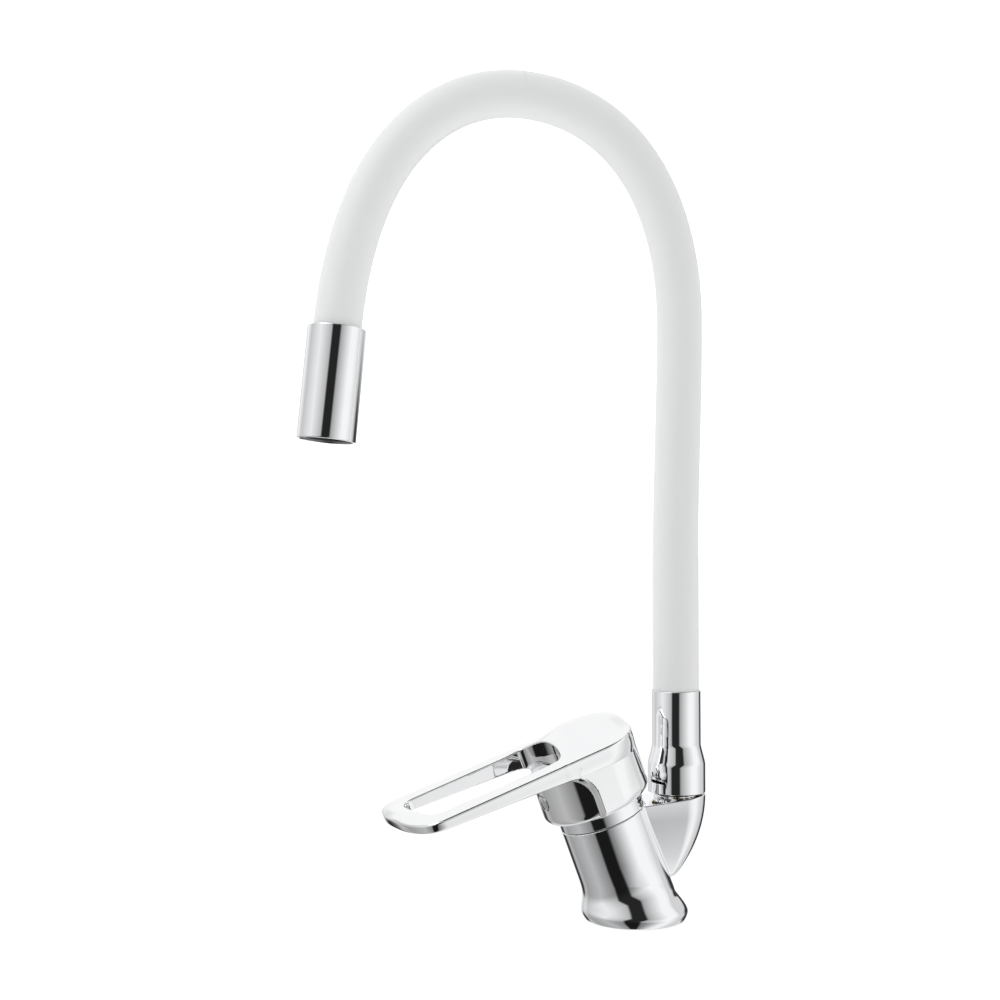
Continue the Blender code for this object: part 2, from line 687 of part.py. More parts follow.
def make_disc_carrier():
    """Carrier that drives the moving disc by two pegs and takes the stem's ball in a slot."""
    bottom = carrier_bottom()
    top = bottom + CARRIER_THICKNESS
    carrier = disc("disc_carrier", MOVING_DISC_RADIUS, bottom, top, TURN_FRAME, "grey_plastic")
    for side, label in ((-1, "left"), (1, "right")):
        peg = disc("peg_form_" + label, CARRIER_PEG_RADIUS, bottom - RUNNING_GAP - CARRIER_PEG_LENGTH,
                   bottom + CARRIER_THICKNESS / 2, TURN_FRAME, steps=SMALL_TURN_STEPS)
        peg.location = (side * CARRIER_PEG_SPREAD, 0.0, 0.0)
        join(carrier, peg)
    slot_floor = STEM_BALL_HEIGHT - STEM_BALL_RADIUS - RUNNING_GAP
    slot_width = 2 * (STEM_BALL_RADIUS + BALL_OVERRUN)
    slot_height = top + CUT_OVERRUN - slot_floor
    cut(carrier, block("carrier_slot_cut", (slot_width, slot_width, slot_height),
                       (0.0, 0.0, slot_floor + slot_height / 2), TURN_FRAME))


def make_stem_carrier():
    """Turning piece in the housing's mouth; the lever's stem tilts in its slot on a pin."""
    collar_top = HOUSING_ROOF - RUNNING_GAP
    collar_radius = SWIVEL_BORE_RADIUS - RUNNING_GAP
    outline = [(0.0, SWIVEL_NECK_TOP), (SWIVEL_NECK_RADIUS, SWIVEL_NECK_TOP), (SWIVEL_NECK_RADIUS, collar_top),
               (collar_radius, collar_top), (collar_radius, SWIVEL_BOTTOM), (0.0, SWIVEL_BOTTOM)]
    swivel = turned("stem_carrier", outline, TURN_FRAME, "dark_plastic")
    slot_width = STEM_WIDTH + 2 * RUNNING_GAP
    upper_bottom = SWIVEL_BOTTOM - CUT_OVERRUN
    upper_top = SWIVEL_NECK_TOP + CUT_OVERRUN
    upper = block("stem_slot_cut", (slot_width, SWIVEL_SLOT_LENGTH, upper_top - upper_bottom),
                  (0.0, 0.0, (upper_top + upper_bottom) / 2), TURN_FRAME)
    cut(swivel, upper)
    lower = block("stem_lower_slot_cut", (slot_width, SWIVEL_LOWER_SLOT_LENGTH, SWIVEL_LOWER_SLOT_TOP - upper_bottom),
                  (0.0, 0.0, (SWIVEL_LOWER_SLOT_TOP + upper_bottom) / 2), TURN_FRAME)
    cut(swivel, lower)
    reach = SWIVEL_BORE_RADIUS + CUT_OVERRUN
    cut(swivel, rod("swivel_pin_cut", (-reach, 0.0, PIVOT_HEIGHT), (reach, 0.0, PIVOT_HEIGHT),
                    PIN_RADIUS + RUNNING_GAP, TURN_FRAME))


def make_stem_pin():
    """Steel pin that the lever's stem tilts on."""
    half = PIN_LENGTH / 2
    rod("stem_pin", (-half, 0.0, PIVOT_HEIGHT), (half, 0.0, PIVOT_HEIGHT), PIN_RADIUS, TURN_FRAME, "steel")


def make_lever_stem():
    """Square stem from the lever down to the ball that moves the disc."""
    height = STEM_TOP - STEM_BOTTOM
    middle = (STEM_TOP + STEM_BOTTOM) / 2 - PIVOT_HEIGHT
    stem = block("lever_stem", (STEM_WIDTH, STEM_WIDTH, height), (0.0, 0.0, middle), LIFT_FRAME, "steel")
    neck_top = STEM_BOTTOM + CUT_OVERRUN - PIVOT_HEIGHT
    ball_place = STEM_BALL_HEIGHT - PIVOT_HEIGHT
    join(stem, rod("stem_neck_form", (0.0, 0.0, ball_place), (0.0, 0.0, neck_top), STEM_NECK_RADIUS, LIFT_FRAME))
    join(stem, ball("stem_ball_form", STEM_BALL_RADIUS, (0.0, 0.0, ball_place), LIFT_FRAME))
    cut(stem, rod("stem_pin_cut", (-STEM_WIDTH, 0.0, 0.0), (STEM_WIDTH, 0.0, 0.0), PIN_RADIUS + RUNNING_GAP,
                  LIFT_FRAME))


def make_cartridge_nut():
    """Threaded ring that clamps the housing's shoulder, with flats for the spanner."""
    bottom = HOUSING_SHOULDER + RUNNING_GAP
    radius = THREAD_RADIUS - RUNNING_GAP
    nut = ring("cartridge_nut", NUT_BORE_RADIUS, radius, bottom, NUT_TOP, LEAN_FRAME, "brass", steps=FINE_TURN_STEPS)
    height = NUT_FLAT_HEIGHT + CUT_OVERRUN
    for index in range(NUT_FLAT_COUNT):
        angle = 2 * math.pi * index / NUT_FLAT_COUNT
        away = 2 * radius - NUT_FLAT_DEPTH
        flat = block("nut_flat_cut_" + str(index), (2 * radius, 2 * radius, height), (0.0, 0.0, 0.0), LEAN_FRAME)
        flat.rotation_euler = (0.0, 0.0, angle)
        flat.location = (away * math.cos(angle), away * math.sin(angle), NUT_TOP - NUT_FLAT_HEIGHT + height / 2)
        cut(nut, flat)


def make_trim_ring():
    """Chromed ring over the nut, with a rounded shoulder under the lever."""
    bottom = COLUMN_TOP + RUNNING_GAP
    outer = COLUMN_UPPER_RADIUS
    shoulder_out = outer - TRIM_MOUTH_RADIUS
    shoulder_up = TRIM_TOP - TRIM_STRAIGHT_TOP
    shoulder = arc(TRIM_MOUTH_RADIUS, TRIM_STRAIGHT_TOP, shoulder_out, shoulder_up, 90, 0, 5)
    hollow = arc(TRIM_MOUTH_RADIUS, TRIM_STRAIGHT_TOP, shoulder_out - TRIM_WALL, shoulder_up - TRIM_WALL, 0, 90, 4)
    outline = shoulder + [(outer, bottom), (outer - TRIM_WALL, bottom)] + hollow
    turned("trim_ring", outline, LEAN_FRAME, "chrome", closed=True)


# Lever
def paddle_half_width(forward):
    """Half width of the lever in plan: a squared back, straight sides and a rounded tip."""
    if forward < 0.0:
        share = min(-forward / PADDLE_BACK, 1.0)
        return PADDLE_HALF_WIDTH * (1.0 - share ** PADDLE_BACK_SQUARENESS) ** (1.0 / PADDLE_BACK_SQUARENESS)
    tip_start = PADDLE_LENGTH - PADDLE_TIP_ROUNDING
    share = min(max((forward - tip_start) / PADDLE_TIP_ROUNDING, 0.0), 1.0)
    return PADDLE_HALF_WIDTH * (1.0 - share ** PADDLE_TIP_SQUARENESS) ** (1.0 / PADDLE_TIP_SQUARENESS)


def paddle_ring(forward):
    """Section across the lever: crowned top down to the crease, then the side and the underside."""
    half = paddle_half_width(forward)
    fullness = half / PADDLE_HALF_WIDTH
    along = max(forward, 0.0) / PADDLE_LENGTH
    fall = smoothstep(along * CROWN_FALL_RATE_SHARE)
    crown = (PADDLE_CROWN_AT_CAP + (PADDLE_CROWN_AT_TIP - PADDLE_CROWN_AT_CAP) * fall) * fullness
    depth = PADDLE_DEPTH_AT_CAP + (PADDLE_DEPTH_AT_TIP - PADDLE_DEPTH_AT_CAP) * along ** PADDLE_DEPTH_FALL_SHARE
    crease = PADDLE_CREASE - PIVOT_HEIGHT + max(forward, 0.0) * math.tan(PADDLE_RISE)
    row = []
    for index in range(PADDLE_CROSS_POINTS):
        share = math.cos(math.pi * index / (PADDLE_CROSS_POINTS - 1))
        rise = crown * (1.0 - abs(share) ** CROWN_SQUARENESS)
        row.append((half * share, -forward, crease + rise))
    under = max(half - PADDLE_SIDE_DRAW * fullness, half * PADDLE_LEAST_UNDER_SHARE)
    row.append((-(half + under) / 2, -forward, crease - depth * fullness * PADDLE_SIDE_BREAK_SHARE))
    row.append((-under, -forward, crease - depth * fullness))
    row.append((under, -forward, crease - depth * fullness))
    row.append(((half + under) / 2, -forward, crease - depth * fullness * PADDLE_SIDE_BREAK_SHARE))
    return row


def paddle_stations():
    """Places of the sections, closer together at the back and at the tip."""
    stations = []
    for index in range(PADDLE_STATION_COUNT):
        turn = math.pi * (index + STATION_START_SHARE) / (PADDLE_STATION_COUNT - STATION_END_SHARE)
        share = 0.5 - 0.5 * math.cos(turn)
        stations.append(-PADDLE_BACK + (PADDLE_LENGTH + PADDLE_BACK) * share)
    return stations


def skirt_rings():
    """Rings of the lever's skirt: a rounded, slanted rim that rises to the cap's outline."""
    rings = []
    rounding = 5
    for index in range(rounding + 1):
        angle = math.pi / 2 * index / rounding
        radius = SKIRT_RIM_RADIUS + (SKIRT_RADIUS - SKIRT_RIM_RADIUS) * math.sin(angle)
        height = SKIRT_RIM_MIDDLE + SKIRT_ROUNDING_HEIGHT * (1.0 - math.cos(angle))
        rings.append((radius, height, SKIRT_RIM_SLANT, SKIRT_BACK_FLATTENING_SHARE * math.sin(angle)))
    rings.append((SKIRT_RADIUS, SKIRT_STRAIGHT_TOP, 0.0, SKIRT_BACK_FLATTENING_SHARE))
    top = PADDLE_CREASE - PADDLE_DEPTH_AT_CAP / 2
    rings.append((SKIRT_RADIUS, top, 0.0, 1.0 - RUNNING_GAP / PADDLE_BACK))
    rows = []
    for radius, height, slant, cap_share in rings:
        row = []
        for step in range(FINE_TURN_STEPS):
            angle = 2 * math.pi * step / FINE_TURN_STEPS
            across, back = math.cos(angle), math.sin(angle)
            reach = radius
            if back > 0.0:
                reach = radius + (cap_reach(across, back) - radius) * cap_share
            rise = slant * back * radius / SKIRT_RADIUS
            row.append((reach * across, reach * back, height + rise - PIVOT_HEIGHT))
        rows.append(row)
    return rows


def cap_reach(across, back):
    """Distance from the axis to the lever's squared back outline in one direction."""
    power = PADDLE_BACK_SQUARENESS
    scale = (abs(across) / PADDLE_HALF_WIDTH) ** power + (abs(back) / PADDLE_BACK) ** power
    return scale ** (-1.0 / power)


def loop_outline():
    """Plan outline of the finger loop: a broad round back, straight sides and a tighter front."""
    outline = []
    corner = 9
    back_centre = LOOP_BACK + LOOP_BACK_ROUNDING
    front_centre = LOOP_FRONT - LOOP_FRONT_ROUNDING
    for index in range(corner):
        angle = math.pi / 2 * index / (corner - 1)
        outline.append((LOOP_HALF_WIDTH_BACK * math.sin(angle) ** LOOP_BACK_CORNER_SHARE,
                        -(back_centre - LOOP_BACK_ROUNDING * math.cos(angle) ** LOOP_BACK_CORNER_SHARE)))
    for index in range(corner):
        angle = math.pi / 2 * (1.0 - index / (corner - 1))
        outline.append((LOOP_HALF_WIDTH_FRONT * math.sin(angle) ** LOOP_FRONT_CORNER_SHARE,
                        -(front_centre + LOOP_FRONT_ROUNDING * math.cos(angle) ** LOOP_FRONT_CORNER_SHARE)))
    mirrored = [(-across, along) for across, along in reversed(outline[1:-1])]
    return outline + mirrored


def make_lever_handle():
    """Cast lever: skirt over the trim ring, hub on the stem, crowned paddle with a finger loop."""
    lever = loft("lever_handle", [paddle_ring(station) for station in paddle_stations()], LIFT_FRAME, "chrome")
    join(lever, loft("skirt_form", skirt_rings(), LIFT_FRAME))
    inner = SKIRT_RADIUS - SKIRT_WALL
    lowest = SKIRT_RIM_MIDDLE - SKIRT_RIM_SLANT - CUT_OVERRUN
    mouth_top = SKIRT_RIM_MIDDLE + SKIRT_RIM_SLANT + SKIRT_WALL / 2
    cavity = [(0.0, CAVITY_ROOF - PIVOT_HEIGHT), (CAVITY_ROOF_RADIUS, CAVITY_ROOF - PIVOT_HEIGHT),
              (inner, CAVITY_SHOULDER - PIVOT_HEIGHT), (inner, mouth_top + SKIRT_WALL - PIVOT_HEIGHT),
              (SKIRT_MOUTH_RADIUS, mouth_top - PIVOT_HEIGHT), (SKIRT_MOUTH_RADIUS, lowest - PIVOT_HEIGHT),
              (0.0, lowest - PIVOT_HEIGHT)]
    cut(lever, turned("cavity_cut", cavity, LIFT_FRAME))
    hub_top = CAVITY_ROOF + CUT_OVERRUN - PIVOT_HEIGHT
    join(lever, disc("hub_form", HUB_RADIUS, HUB_BOTTOM - PIVOT_HEIGHT, hub_top, LIFT_FRAME))
    loop = loop_outline()
    clear = PADDLE_CREASE + PADDLE_CROWN_AT_CAP + CUT_OVERRUN - PIVOT_HEIGHT
    cut(lever, plate("loop_pocket_cut", loop, LOOP_POCKET_FLOOR - PIVOT_HEIGHT, clear, LIFT_FRAME))
    front_part = [(across, min(along, -SKIRT_RADIUS - CUT_OVERRUN)) for across, along in loop]
    front_part = [point for index, point in enumerate(front_part) if point != front_part[index - 1]]
    under = PADDLE_CREASE - PADDLE_DEPTH_AT_CAP - CUT_OVERRUN - PIVOT_HEIGHT
    cut(lever, plate("loop_through_cut", front_part, under, LOOP_POCKET_FLOOR + CUT_OVERRUN - PIVOT_HEIGHT,
                     LIFT_FRAME))
    socket_width = STEM_WIDTH + 2 * RUNNING_GAP
    socket_bottom = HUB_BOTTOM - CUT_OVERRUN - PIVOT_HEIGHT
    socket_top = STEM_TOP + RUNNING_GAP - PIVOT_HEIGHT
    cut(lever, block("stem_socket_cut", (socket_width, socket_width, socket_top - socket_bottom),
                     (0.0, 0.0, (socket_top + socket_bottom) / 2), LIFT_FRAME))
    level = PLUG_HEIGHT - PIVOT_HEIGHT
    cut(lever, rod("set_screw_cut", (0.0, 0.0, level), (0.0, -HUB_RADIUS - CUT_OVERRUN, level),
                   SCREW_RADIUS + RUNNING_GAP, LIFT_FRAME))
    cut(lever, rod("plug_cut", (0.0, -inner + SKIRT_WALL, level), (0.0, -SKIRT_RADIUS - CUT_OVERRUN, level),
                   PLUG_RADIUS + RUNNING_GAP, LIFT_FRAME))


def make_set_screw():
    """Socket screw that clamps the hub on the stem."""
    level = PLUG_HEIGHT - PIVOT_HEIGHT
    start = STEM_WIDTH / 2 + RUNNING_GAP
    screw = rod("lever_set_screw", (0.0, -start, level), (0.0, -start - SCREW_LENGTH, level), SCREW_RADIUS,
                LIFT_FRAME, "steel")
    end = start + SCREW_LENGTH
    cut(screw, rod("screw_socket_cut", (0.0, -end + SCREW_SOCKET_DEPTH, level), (0.0, -end - CUT_OVERRUN, level),
                   SCREW_SOCKET_RADIUS, LIFT_FRAME, segments=6))


def make_index_plug():
    """Domed plug that closes the hole to the set screw."""
    crown = arc(0.0, 0.0, PLUG_RADIUS, PLUG_DOME, 90, 0, 5)
    outline = crown + [(PLUG_RADIUS, -PLUG_THICKNESS), (0.0, -PLUG_THICKNESS)]
    plug = turned("index_plug", outline, LIFT_FRAME, "steel", SMALL_TURN_STEPS)
    plug.rotation_euler = (math.pi / 2, 0.0, 0.0)
    plug.location = (0.0, -SKIRT_RADIUS, PLUG_HEIGHT - PIVOT_HEIGHT)


# Spout swivel
def make_swivel_washer():
    """Slide washer between the boss and the turning spout."""
    bottom = SEAT_TOP + RUNNING_GAP
    ring("swivel_washer", WASHER_INNER_RADIUS, SEAT_RADIUS, bottom, bottom + WASHER_HEIGHT, RISER_FRAME,
         "dark_plastic")


def grooved_outline():
    """Outer side of the nipple from top to bottom, with its two ring grooves and the clip's groove."""
    outline = [(NIPPLE_BORE_RADIUS, NIPPLE_TOP), (NIPPLE_RADIUS, NIPPLE_TOP)]
    grooves = ((UPPER_RING_HEIGHT, GROOVE_WIDTH), (LOWER_RING_HEIGHT, GROOVE_WIDTH),
               (CLIP_HEIGHT, CLIP_WIDTH + 2 * RUNNING_GAP))
    for middle, width in grooves:
        outline += [(NIPPLE_RADIUS, middle + width / 2), (GROOVE_RADIUS, middle + width / 2),
                    (GROOVE_RADIUS, middle - width / 2), (NIPPLE_RADIUS, middle - width / 2)]
    shoulder = SEAT_TOP + RUNNING_GAP
    outline += [(NIPPLE_RADIUS, shoulder), (NIPPLE_THREAD_RADIUS, shoulder),
                (NIPPLE_THREAD_RADIUS, NIPPLE_BOTTOM), (NIPPLE_BORE_RADIUS, NIPPLE_BOTTOM)]
    return outline


def make_spout_nipple():
    """Brass nipple screwed into the boss, on which the spout turns."""
    turned("spout_nipple", grooved_outline(), RISER_FRAME, "brass", PLAIN_TURN_STEPS, closed=True)


def make_nipple_rings():
    """Two rubber rings in the nipple's grooves."""
    for name, height in (("lower_o_ring", LOWER_RING_HEIGHT), ("upper_o_ring", UPPER_RING_HEIGHT)):
        outline = arc(RING_CENTRE_RADIUS, height, RING_SECTION_RADIUS, RING_SECTION_RADIUS, 90, -210, 6)
        turned(name, outline, RISER_FRAME, "seal_rubber", PLAIN_TURN_STEPS, closed=True)


def make_retaining_clip():
    """Open clip that keeps the spout on its nipple and lets it turn."""
    inner = GROOVE_RADIUS + RUNNING_GAP
    clip = ring("retaining_clip", inner, CLIP_OUTER_RADIUS, CLIP_HEIGHT - CLIP_WIDTH / 2,
                CLIP_HEIGHT + CLIP_WIDTH / 2, RISER_FRAME, "plastic")
    reach = 2 * CLIP_OUTER_RADIUS
    half = reach * math.tan(CLIP_MOUTH_ANGLE / 2)
    mouth = [(0.0, 0.0), (half, -reach), (-half, -reach)]
    cut(clip, plate("clip_mouth_cut", mouth, CLIP_HEIGHT - CLIP_WIDTH, CLIP_HEIGHT + CLIP_WIDTH, RISER_FRAME))


def ferrule_inner(height_radius):
    return height_radius - FERRULE_WALL


def make_spout_ferrule():
    """Chromed ferrule: a wide foot, a cone and a sleeve that holds the hose."""
    upper_inner = HOSE_RADIUS + RUNNING_GAP
    lower_inner = ferrule_inner(FERRULE_LOWER_RADIUS)
    outline = [(upper_inner, FERRULE_TOP), (FERRULE_UPPER_RADIUS - FERRULE_EDGE, FERRULE_TOP),
               (FERRULE_UPPER_RADIUS, FERRULE_TOP - FERRULE_EDGE), (FERRULE_UPPER_RADIUS, FERRULE_CONE_END),
               (FERRULE_LOWER_RADIUS, FERRULE_CONE_START), (FERRULE_LOWER_RADIUS, FERRULE_BOTTOM + FERRULE_EDGE),
               (FERRULE_LOWER_RADIUS - FERRULE_EDGE, FERRULE_BOTTOM), (lower_inner, FERRULE_BOTTOM),
               (lower_inner, FERRULE_CONE_START), (upper_inner, FERRULE_CONE_END)]
    turned("spout_ferrule", outline, RISER_FRAME, "chrome", closed=True)


def make_spout_insert():
    """Brass insert in the ferrule: a socket on the nipple below and a barb in the hose above."""
    bottom = SEAT_TOP + 2 * RUNNING_GAP + WASHER_HEIGHT
    wide = ferrule_inner(FERRULE_LOWER_RADIUS) - RUNNING_GAP
    narrow = HOSE_RADIUS - RUNNING_GAP
    clip_half = CLIP_WIDTH / 2 + RUNNING_GAP
    clip_radius = CLIP_OUTER_RADIUS + RUNNING_GAP
    socket_top = NIPPLE_TOP + RUNNING_GAP
    outline = [(BARB_BORE_RADIUS, INSERT_BARB_TOP), (BARB_RADIUS, INSERT_BARB_TOP), (BARB_RADIUS, INSERT_TOP),
               (narrow, INSERT_TOP), (narrow, FERRULE_CONE_END), (wide, FERRULE_CONE_START - RUNNING_GAP),
               (wide, bottom), (SOCKET_RADIUS, bottom), (SOCKET_RADIUS, CLIP_HEIGHT - clip_half),
               (clip_radius, CLIP_HEIGHT - clip_half), (clip_radius, CLIP_HEIGHT + clip_half),
               (SOCKET_RADIUS, CLIP_HEIGHT + clip_half), (SOCKET_RADIUS, socket_top),
               (BARB_BORE_RADIUS, socket_top)]
    turned("spout_insert", outline, RISER_FRAME, "brass", PLAIN_TURN_STEPS, closed=True)


# Flexible hose
def bezier(start, first, second, end):
    """Samples of one cubic stretch, in the spout's own plane."""
    points = []
    for index in range(BEZIER_SAMPLES + 1):
        share = index / BEZIER_SAMPLES
        rest = 1.0 - share
        weights = (rest ** 3, 3 * rest * rest * share, 3 * rest * share * share, share ** 3)
        points.append(sum((weight * point for weight, point in zip(weights, (start, first, second, end))), Vector((0.0, 0.0))))
    return points


def hose_route():
    """Centre line of the hose from its lower end to the outlet head, as (back, up) points."""
    base = Vector((RISER_SETBACK, HOSE_START))
    straight = Vector((RISER_SETBACK, HOSE_STRAIGHT_TOP))
    arch = Vector((RISER_SETBACK + ARCH_START_DRIFT, ARCH_START_HEIGHT))
    crown = Vector((-CROWN_FORWARD, CROWN_HEIGHT))
    down = Vector((-math.sin(OUTLET_TILT), -math.cos(OUTLET_TILT)))
    outlet = Vector((-OUTLET_FORWARD, OUTLET_HEIGHT))
    end = outlet + down * (HEAD_SOCKET_DEPTH - RUNNING_GAP)
    rise = (ARCH_START_HEIGHT - HOSE_STRAIGHT_TOP) / 3
    up = Vector((0.0, 1.0))
    forward = Vector((-1.0, 0.0))
    route = [base + (straight - base) * index / BEZIER_SAMPLES for index in range(BEZIER_SAMPLES)]
    route += bezier(straight, straight + up * rise, arch - up * rise, arch)[:-1]
    route += bezier(arch, arch + up * ARCH_BACK_HANDLE, crown - forward * ARCH_TOP_BACK_HANDLE, crown)[:-1]
    route += bezier(crown, crown + forward * ARCH_TOP_FRONT_HANDLE, outlet - down * ARCH_FRONT_HANDLE, outlet)[:-1]
    route += [outlet, end]
    return route


def route_lengths(route):
    """Length along the route up to each of its points."""
    lengths = [0.0]
    for index in range(1, len(route)):
        lengths.append(lengths[-1] + (route[index] - route[index - 1]).length)
    return lengths


def point_at(route, lengths, distance):
    """Point of the route at a length from its lower end."""
    for index in range(1, len(route)):
        if lengths[index] >= distance:
            span = lengths[index] - lengths[index - 1]
            share = (distance - lengths[index - 1]) / span if span > 0.0 else 0.0
            return route[index - 1] + (route[index] - route[index - 1]) * share
    return route[-1]


def stretch_points(route, lengths, start, end, step):
    """Points of one stretch of hose; a short step at each end keeps the ends square."""
    count = max(round((end - start - 2 * END_STEP) / step), 1)
    places = [start, start + END_STEP]
    for index in range(1, count):
        places.append(start + END_STEP + (end - start - 2 * END_STEP) * index / count)
    places += [end - END_STEP, end]
    points = [point_at(route, lengths, place_along) for place_along in places]
    return [(0.0, point.x, point.y) for point in points]


def pipe(name, points, radius, wall, resolution, material_name):
    """Bored tube along a route: an open round curve with a wall to its inside."""
    curve = bpy.data.curves.new(name, "CURVE")
    curve.dimensions = "3D"
    curve.twist_mode = "MINIMUM"
    curve.bevel_depth = radius
    curve.bevel_resolution = resolution
    curve.use_fill_caps = False
    spline = curve.splines.new("POLY")
    spline.points.add(len(points) - 1)
    for point, place_of_point in zip(spline.points, points):
        point.co = (*place_of_point, 1.0)
    made = place(name, curve, None, material_name)
    shell = made.modifiers.new("wall", "SOLIDIFY")
    shell.thickness = wall
    shell.offset = -1.0
    shell.use_even_offset = True
    return made


def hose_stretches(total):
    """Names and ends of the hose's stretches, and whether each one bends."""
    half = BEND_LENGTH / 2
    half_gap = RUNNING_GAP / 2
    marks = [0.0, BACK_BEND_AT - half, BACK_BEND_AT + half, FRONT_BEND_AT - half, FRONT_BEND_AT + half, total]
    names = ("riser", "bend_back", "crown", "bend_front", "drop")
    stretches = []
    for index, label in enumerate(names):
        start = marks[index] + (half_gap if index else 0.0)
        end = marks[index + 1] - (half_gap if index < len(names) - 1 else 0.0)
        step = STRAIGHT_STEP if label == "riser" else BEND_STEP
        stretches.append((label, start, end, step))
    return stretches


def make_hose():
    """Silicone sleeve, shape-holding steel coil tube and inner hose, each in five stretches."""
    route = hose_route()
    lengths = route_lengths(route)
    layers = (("sleeve", HOSE_RADIUS, SLEEVE_WALL, SLEEVE_RESOLUTION, "silicone"),
              ("gooseneck", COIL_OUTER_RADIUS, COIL_WALL, CORE_RESOLUTION, "steel"),
              ("inner_hose", INNER_HOSE_RADIUS, INNER_HOSE_WALL, CORE_RESOLUTION, "hose_rubber"))
    for label, start, end, step in hose_stretches(lengths[-1]):
        points = stretch_points(route, lengths, start, end, step)
        for layer, radius, wall, resolution, material_name in layers:
            pipe(layer + "_" + label, points, radius, wall, resolution, material_name)


# Outlet head
HEAD_FRAME = empty("head_frame", (0.0, -OUTLET_FORWARD, OUTLET_HEIGHT), rotation_x=-OUTLET_TILT)


def make_outlet_head():
    """Chromed tube at the end of the hose, with a socket for it on top."""
    mouth = HOSE_RADIUS + RUNNING_GAP
    roof = HEAD_SOCKET_DEPTH
    outline = [(mouth, 0.0), (HEAD_RADIUS - HEAD_EDGE, 0.0), (HEAD_RADIUS, -HEAD_EDGE),
               (HEAD_RADIUS, HEAD_EDGE - HEAD_LENGTH), (HEAD_RADIUS - HEAD_EDGE, -HEAD_LENGTH),
               (HEAD_BORE_RADIUS, -HEAD_LENGTH), (HEAD_BORE_RADIUS, -roof), (mouth, -roof)]
    turned("outlet_head", outline, HEAD_FRAME, "chrome", closed=True)


def fitting_top():
    return HEAD_SOCKET_DEPTH + RUNNING_GAP


def make_hose_fitting():
    """Brass fitting screwed into the head, with a barb up into the inner hose."""
    top = -fitting_top()
    bottom = top - FITTING_LENGTH
    outline = [(BARB_BORE_RADIUS, top + FITTING_BARB_LENGTH), (BARB_RADIUS, top + FITTING_BARB_LENGTH),
               (BARB_RADIUS, top), (FITTING_RADIUS, top), (FITTING_RADIUS, bottom),
               (FITTING_BORE_RADIUS, bottom), (FITTING_BORE_RADIUS, top - FITTING_LENGTH / 2),
               (BARB_BORE_RADIUS, top - FITTING_LENGTH / 2)]
    turned("hose_fitting", outline, HEAD_FRAME, "brass", PLAIN_TURN_STEPS, closed=True)


def aerator_top():
    return HEAD_LENGTH - AERATOR_RECESS - AERATOR_LENGTH


def make_head_seal():
    """Rubber washer between the fitting and the aerator."""
    top = -(aerator_top() - RUNNING_GAP - HEAD_SEAL_HEIGHT)
    ring("aerator_seal", HEAD_SEAL_BORE_RADIUS, FITTING_RADIUS, top - HEAD_SEAL_HEIGHT, top, HEAD_FRAME,
         "seal_rubber")


def make_aerator_housing():
    """Ring screwed into the head's mouth, with a lip that holds the insert."""
    top = -aerator_top()
    bottom = AERATOR_RECESS - HEAD_LENGTH
    inner = FITTING_RADIUS - AERATOR_WALL
    lip = inner - AERATOR_LIP
    outline = [(inner, top), (FITTING_RADIUS, top), (FITTING_RADIUS, bottom), (lip, bottom),
               (lip, bottom + AERATOR_LIP), (inner, bottom + AERATOR_LIP)]
    turned("aerator_housing", outline, HEAD_FRAME, "dark_plastic", PLAIN_TURN_STEPS, closed=True)


def grille_level():
    return AERATOR_RECESS + AERATOR_LIP + RUNNING_GAP - HEAD_LENGTH


def make_aerator_grille():
    """Slotted outlet plate seated on the housing's lip."""
    bottom = grille_level()
    radius = FITTING_RADIUS - AERATOR_WALL - MIXER_RADIUS_CLEARANCE
    grille = disc("aerator_grille", radius, bottom, bottom + GRILLE_THICKNESS, HEAD_FRAME, "grey_plastic")
    reach = radius * GRILLE_SLOT_REACH_SHARE
    for index in range(GRILLE_SLOT_COUNT):
        across = (index - (GRILLE_SLOT_COUNT - 1) / 2) * GRILLE_SLOT_PITCH
        half = math.sqrt(reach * reach - across * across)
        depth = GRILLE_THICKNESS + 2 * CUT_OVERRUN
        slot = block("grille_slot_cut_" + str(index), (GRILLE_SLOT_WIDTH, 2 * half, depth),
                     (across, 0.0, bottom + GRILLE_THICKNESS / 2), HEAD_FRAME)
        cut(grille, slot)


def make_aerator_insert():
    """Mixing insert above the grille, with a ring of metering holes."""
    bottom = grille_level() + GRILLE_THICKNESS + RUNNING_GAP
    radius = FITTING_RADIUS - AERATOR_WALL - MIXER_RADIUS_CLEARANCE
    insert = disc("aerator_insert", radius, bottom, bottom + MIXER_LENGTH, HEAD_FRAME, "plastic")
    for index in range(MIXER_HOLE_COUNT):
        angle = 2 * math.pi * index / MIXER_HOLE_COUNT
        hole = disc("insert_hole_cut_" + str(index), MIXER_HOLE_RADIUS, bottom - CUT_OVERRUN,
                    bottom + MIXER_LENGTH + CUT_OVERRUN, HEAD_FRAME, steps=8)
        hole.location = (MIXER_HOLE_CIRCLE * math.cos(angle), MIXER_HOLE_CIRCLE * math.sin(angle), 0.0)
        cut(insert, hole)


make_mixer_body()
make_base_gasket()
make_port_seals()
make_cartridge_housing()
make_fixed_disc()
make_moving_disc()
make_disc_carrier()
make_stem_carrier()
make_stem_pin()
make_lever_stem()
make_cartridge_nut()
make_trim_ring()
make_lever_handle()
make_set_screw()
make_index_plug()
make_swivel_washer()
make_spout_nipple()
make_nipple_rings()
make_retaining_clip()
make_spout_ferrule()
make_spout_insert()
make_hose()
make_outlet_head()
make_hose_fitting()
make_head_seal()
make_aerator_housing()
make_aerator_grille()
make_aerator_insert()
bpy.context.view_layer.update()
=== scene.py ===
"""Looks of the flexible kitchen faucet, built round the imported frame.

Every size is in millimetres in the frame's own axes: +Z up, the lever towards -Y.
"""
import json
import logging
from dataclasses import dataclass, replace
from enum import Enum
from typing import Any, Callable, Optional, Sequence

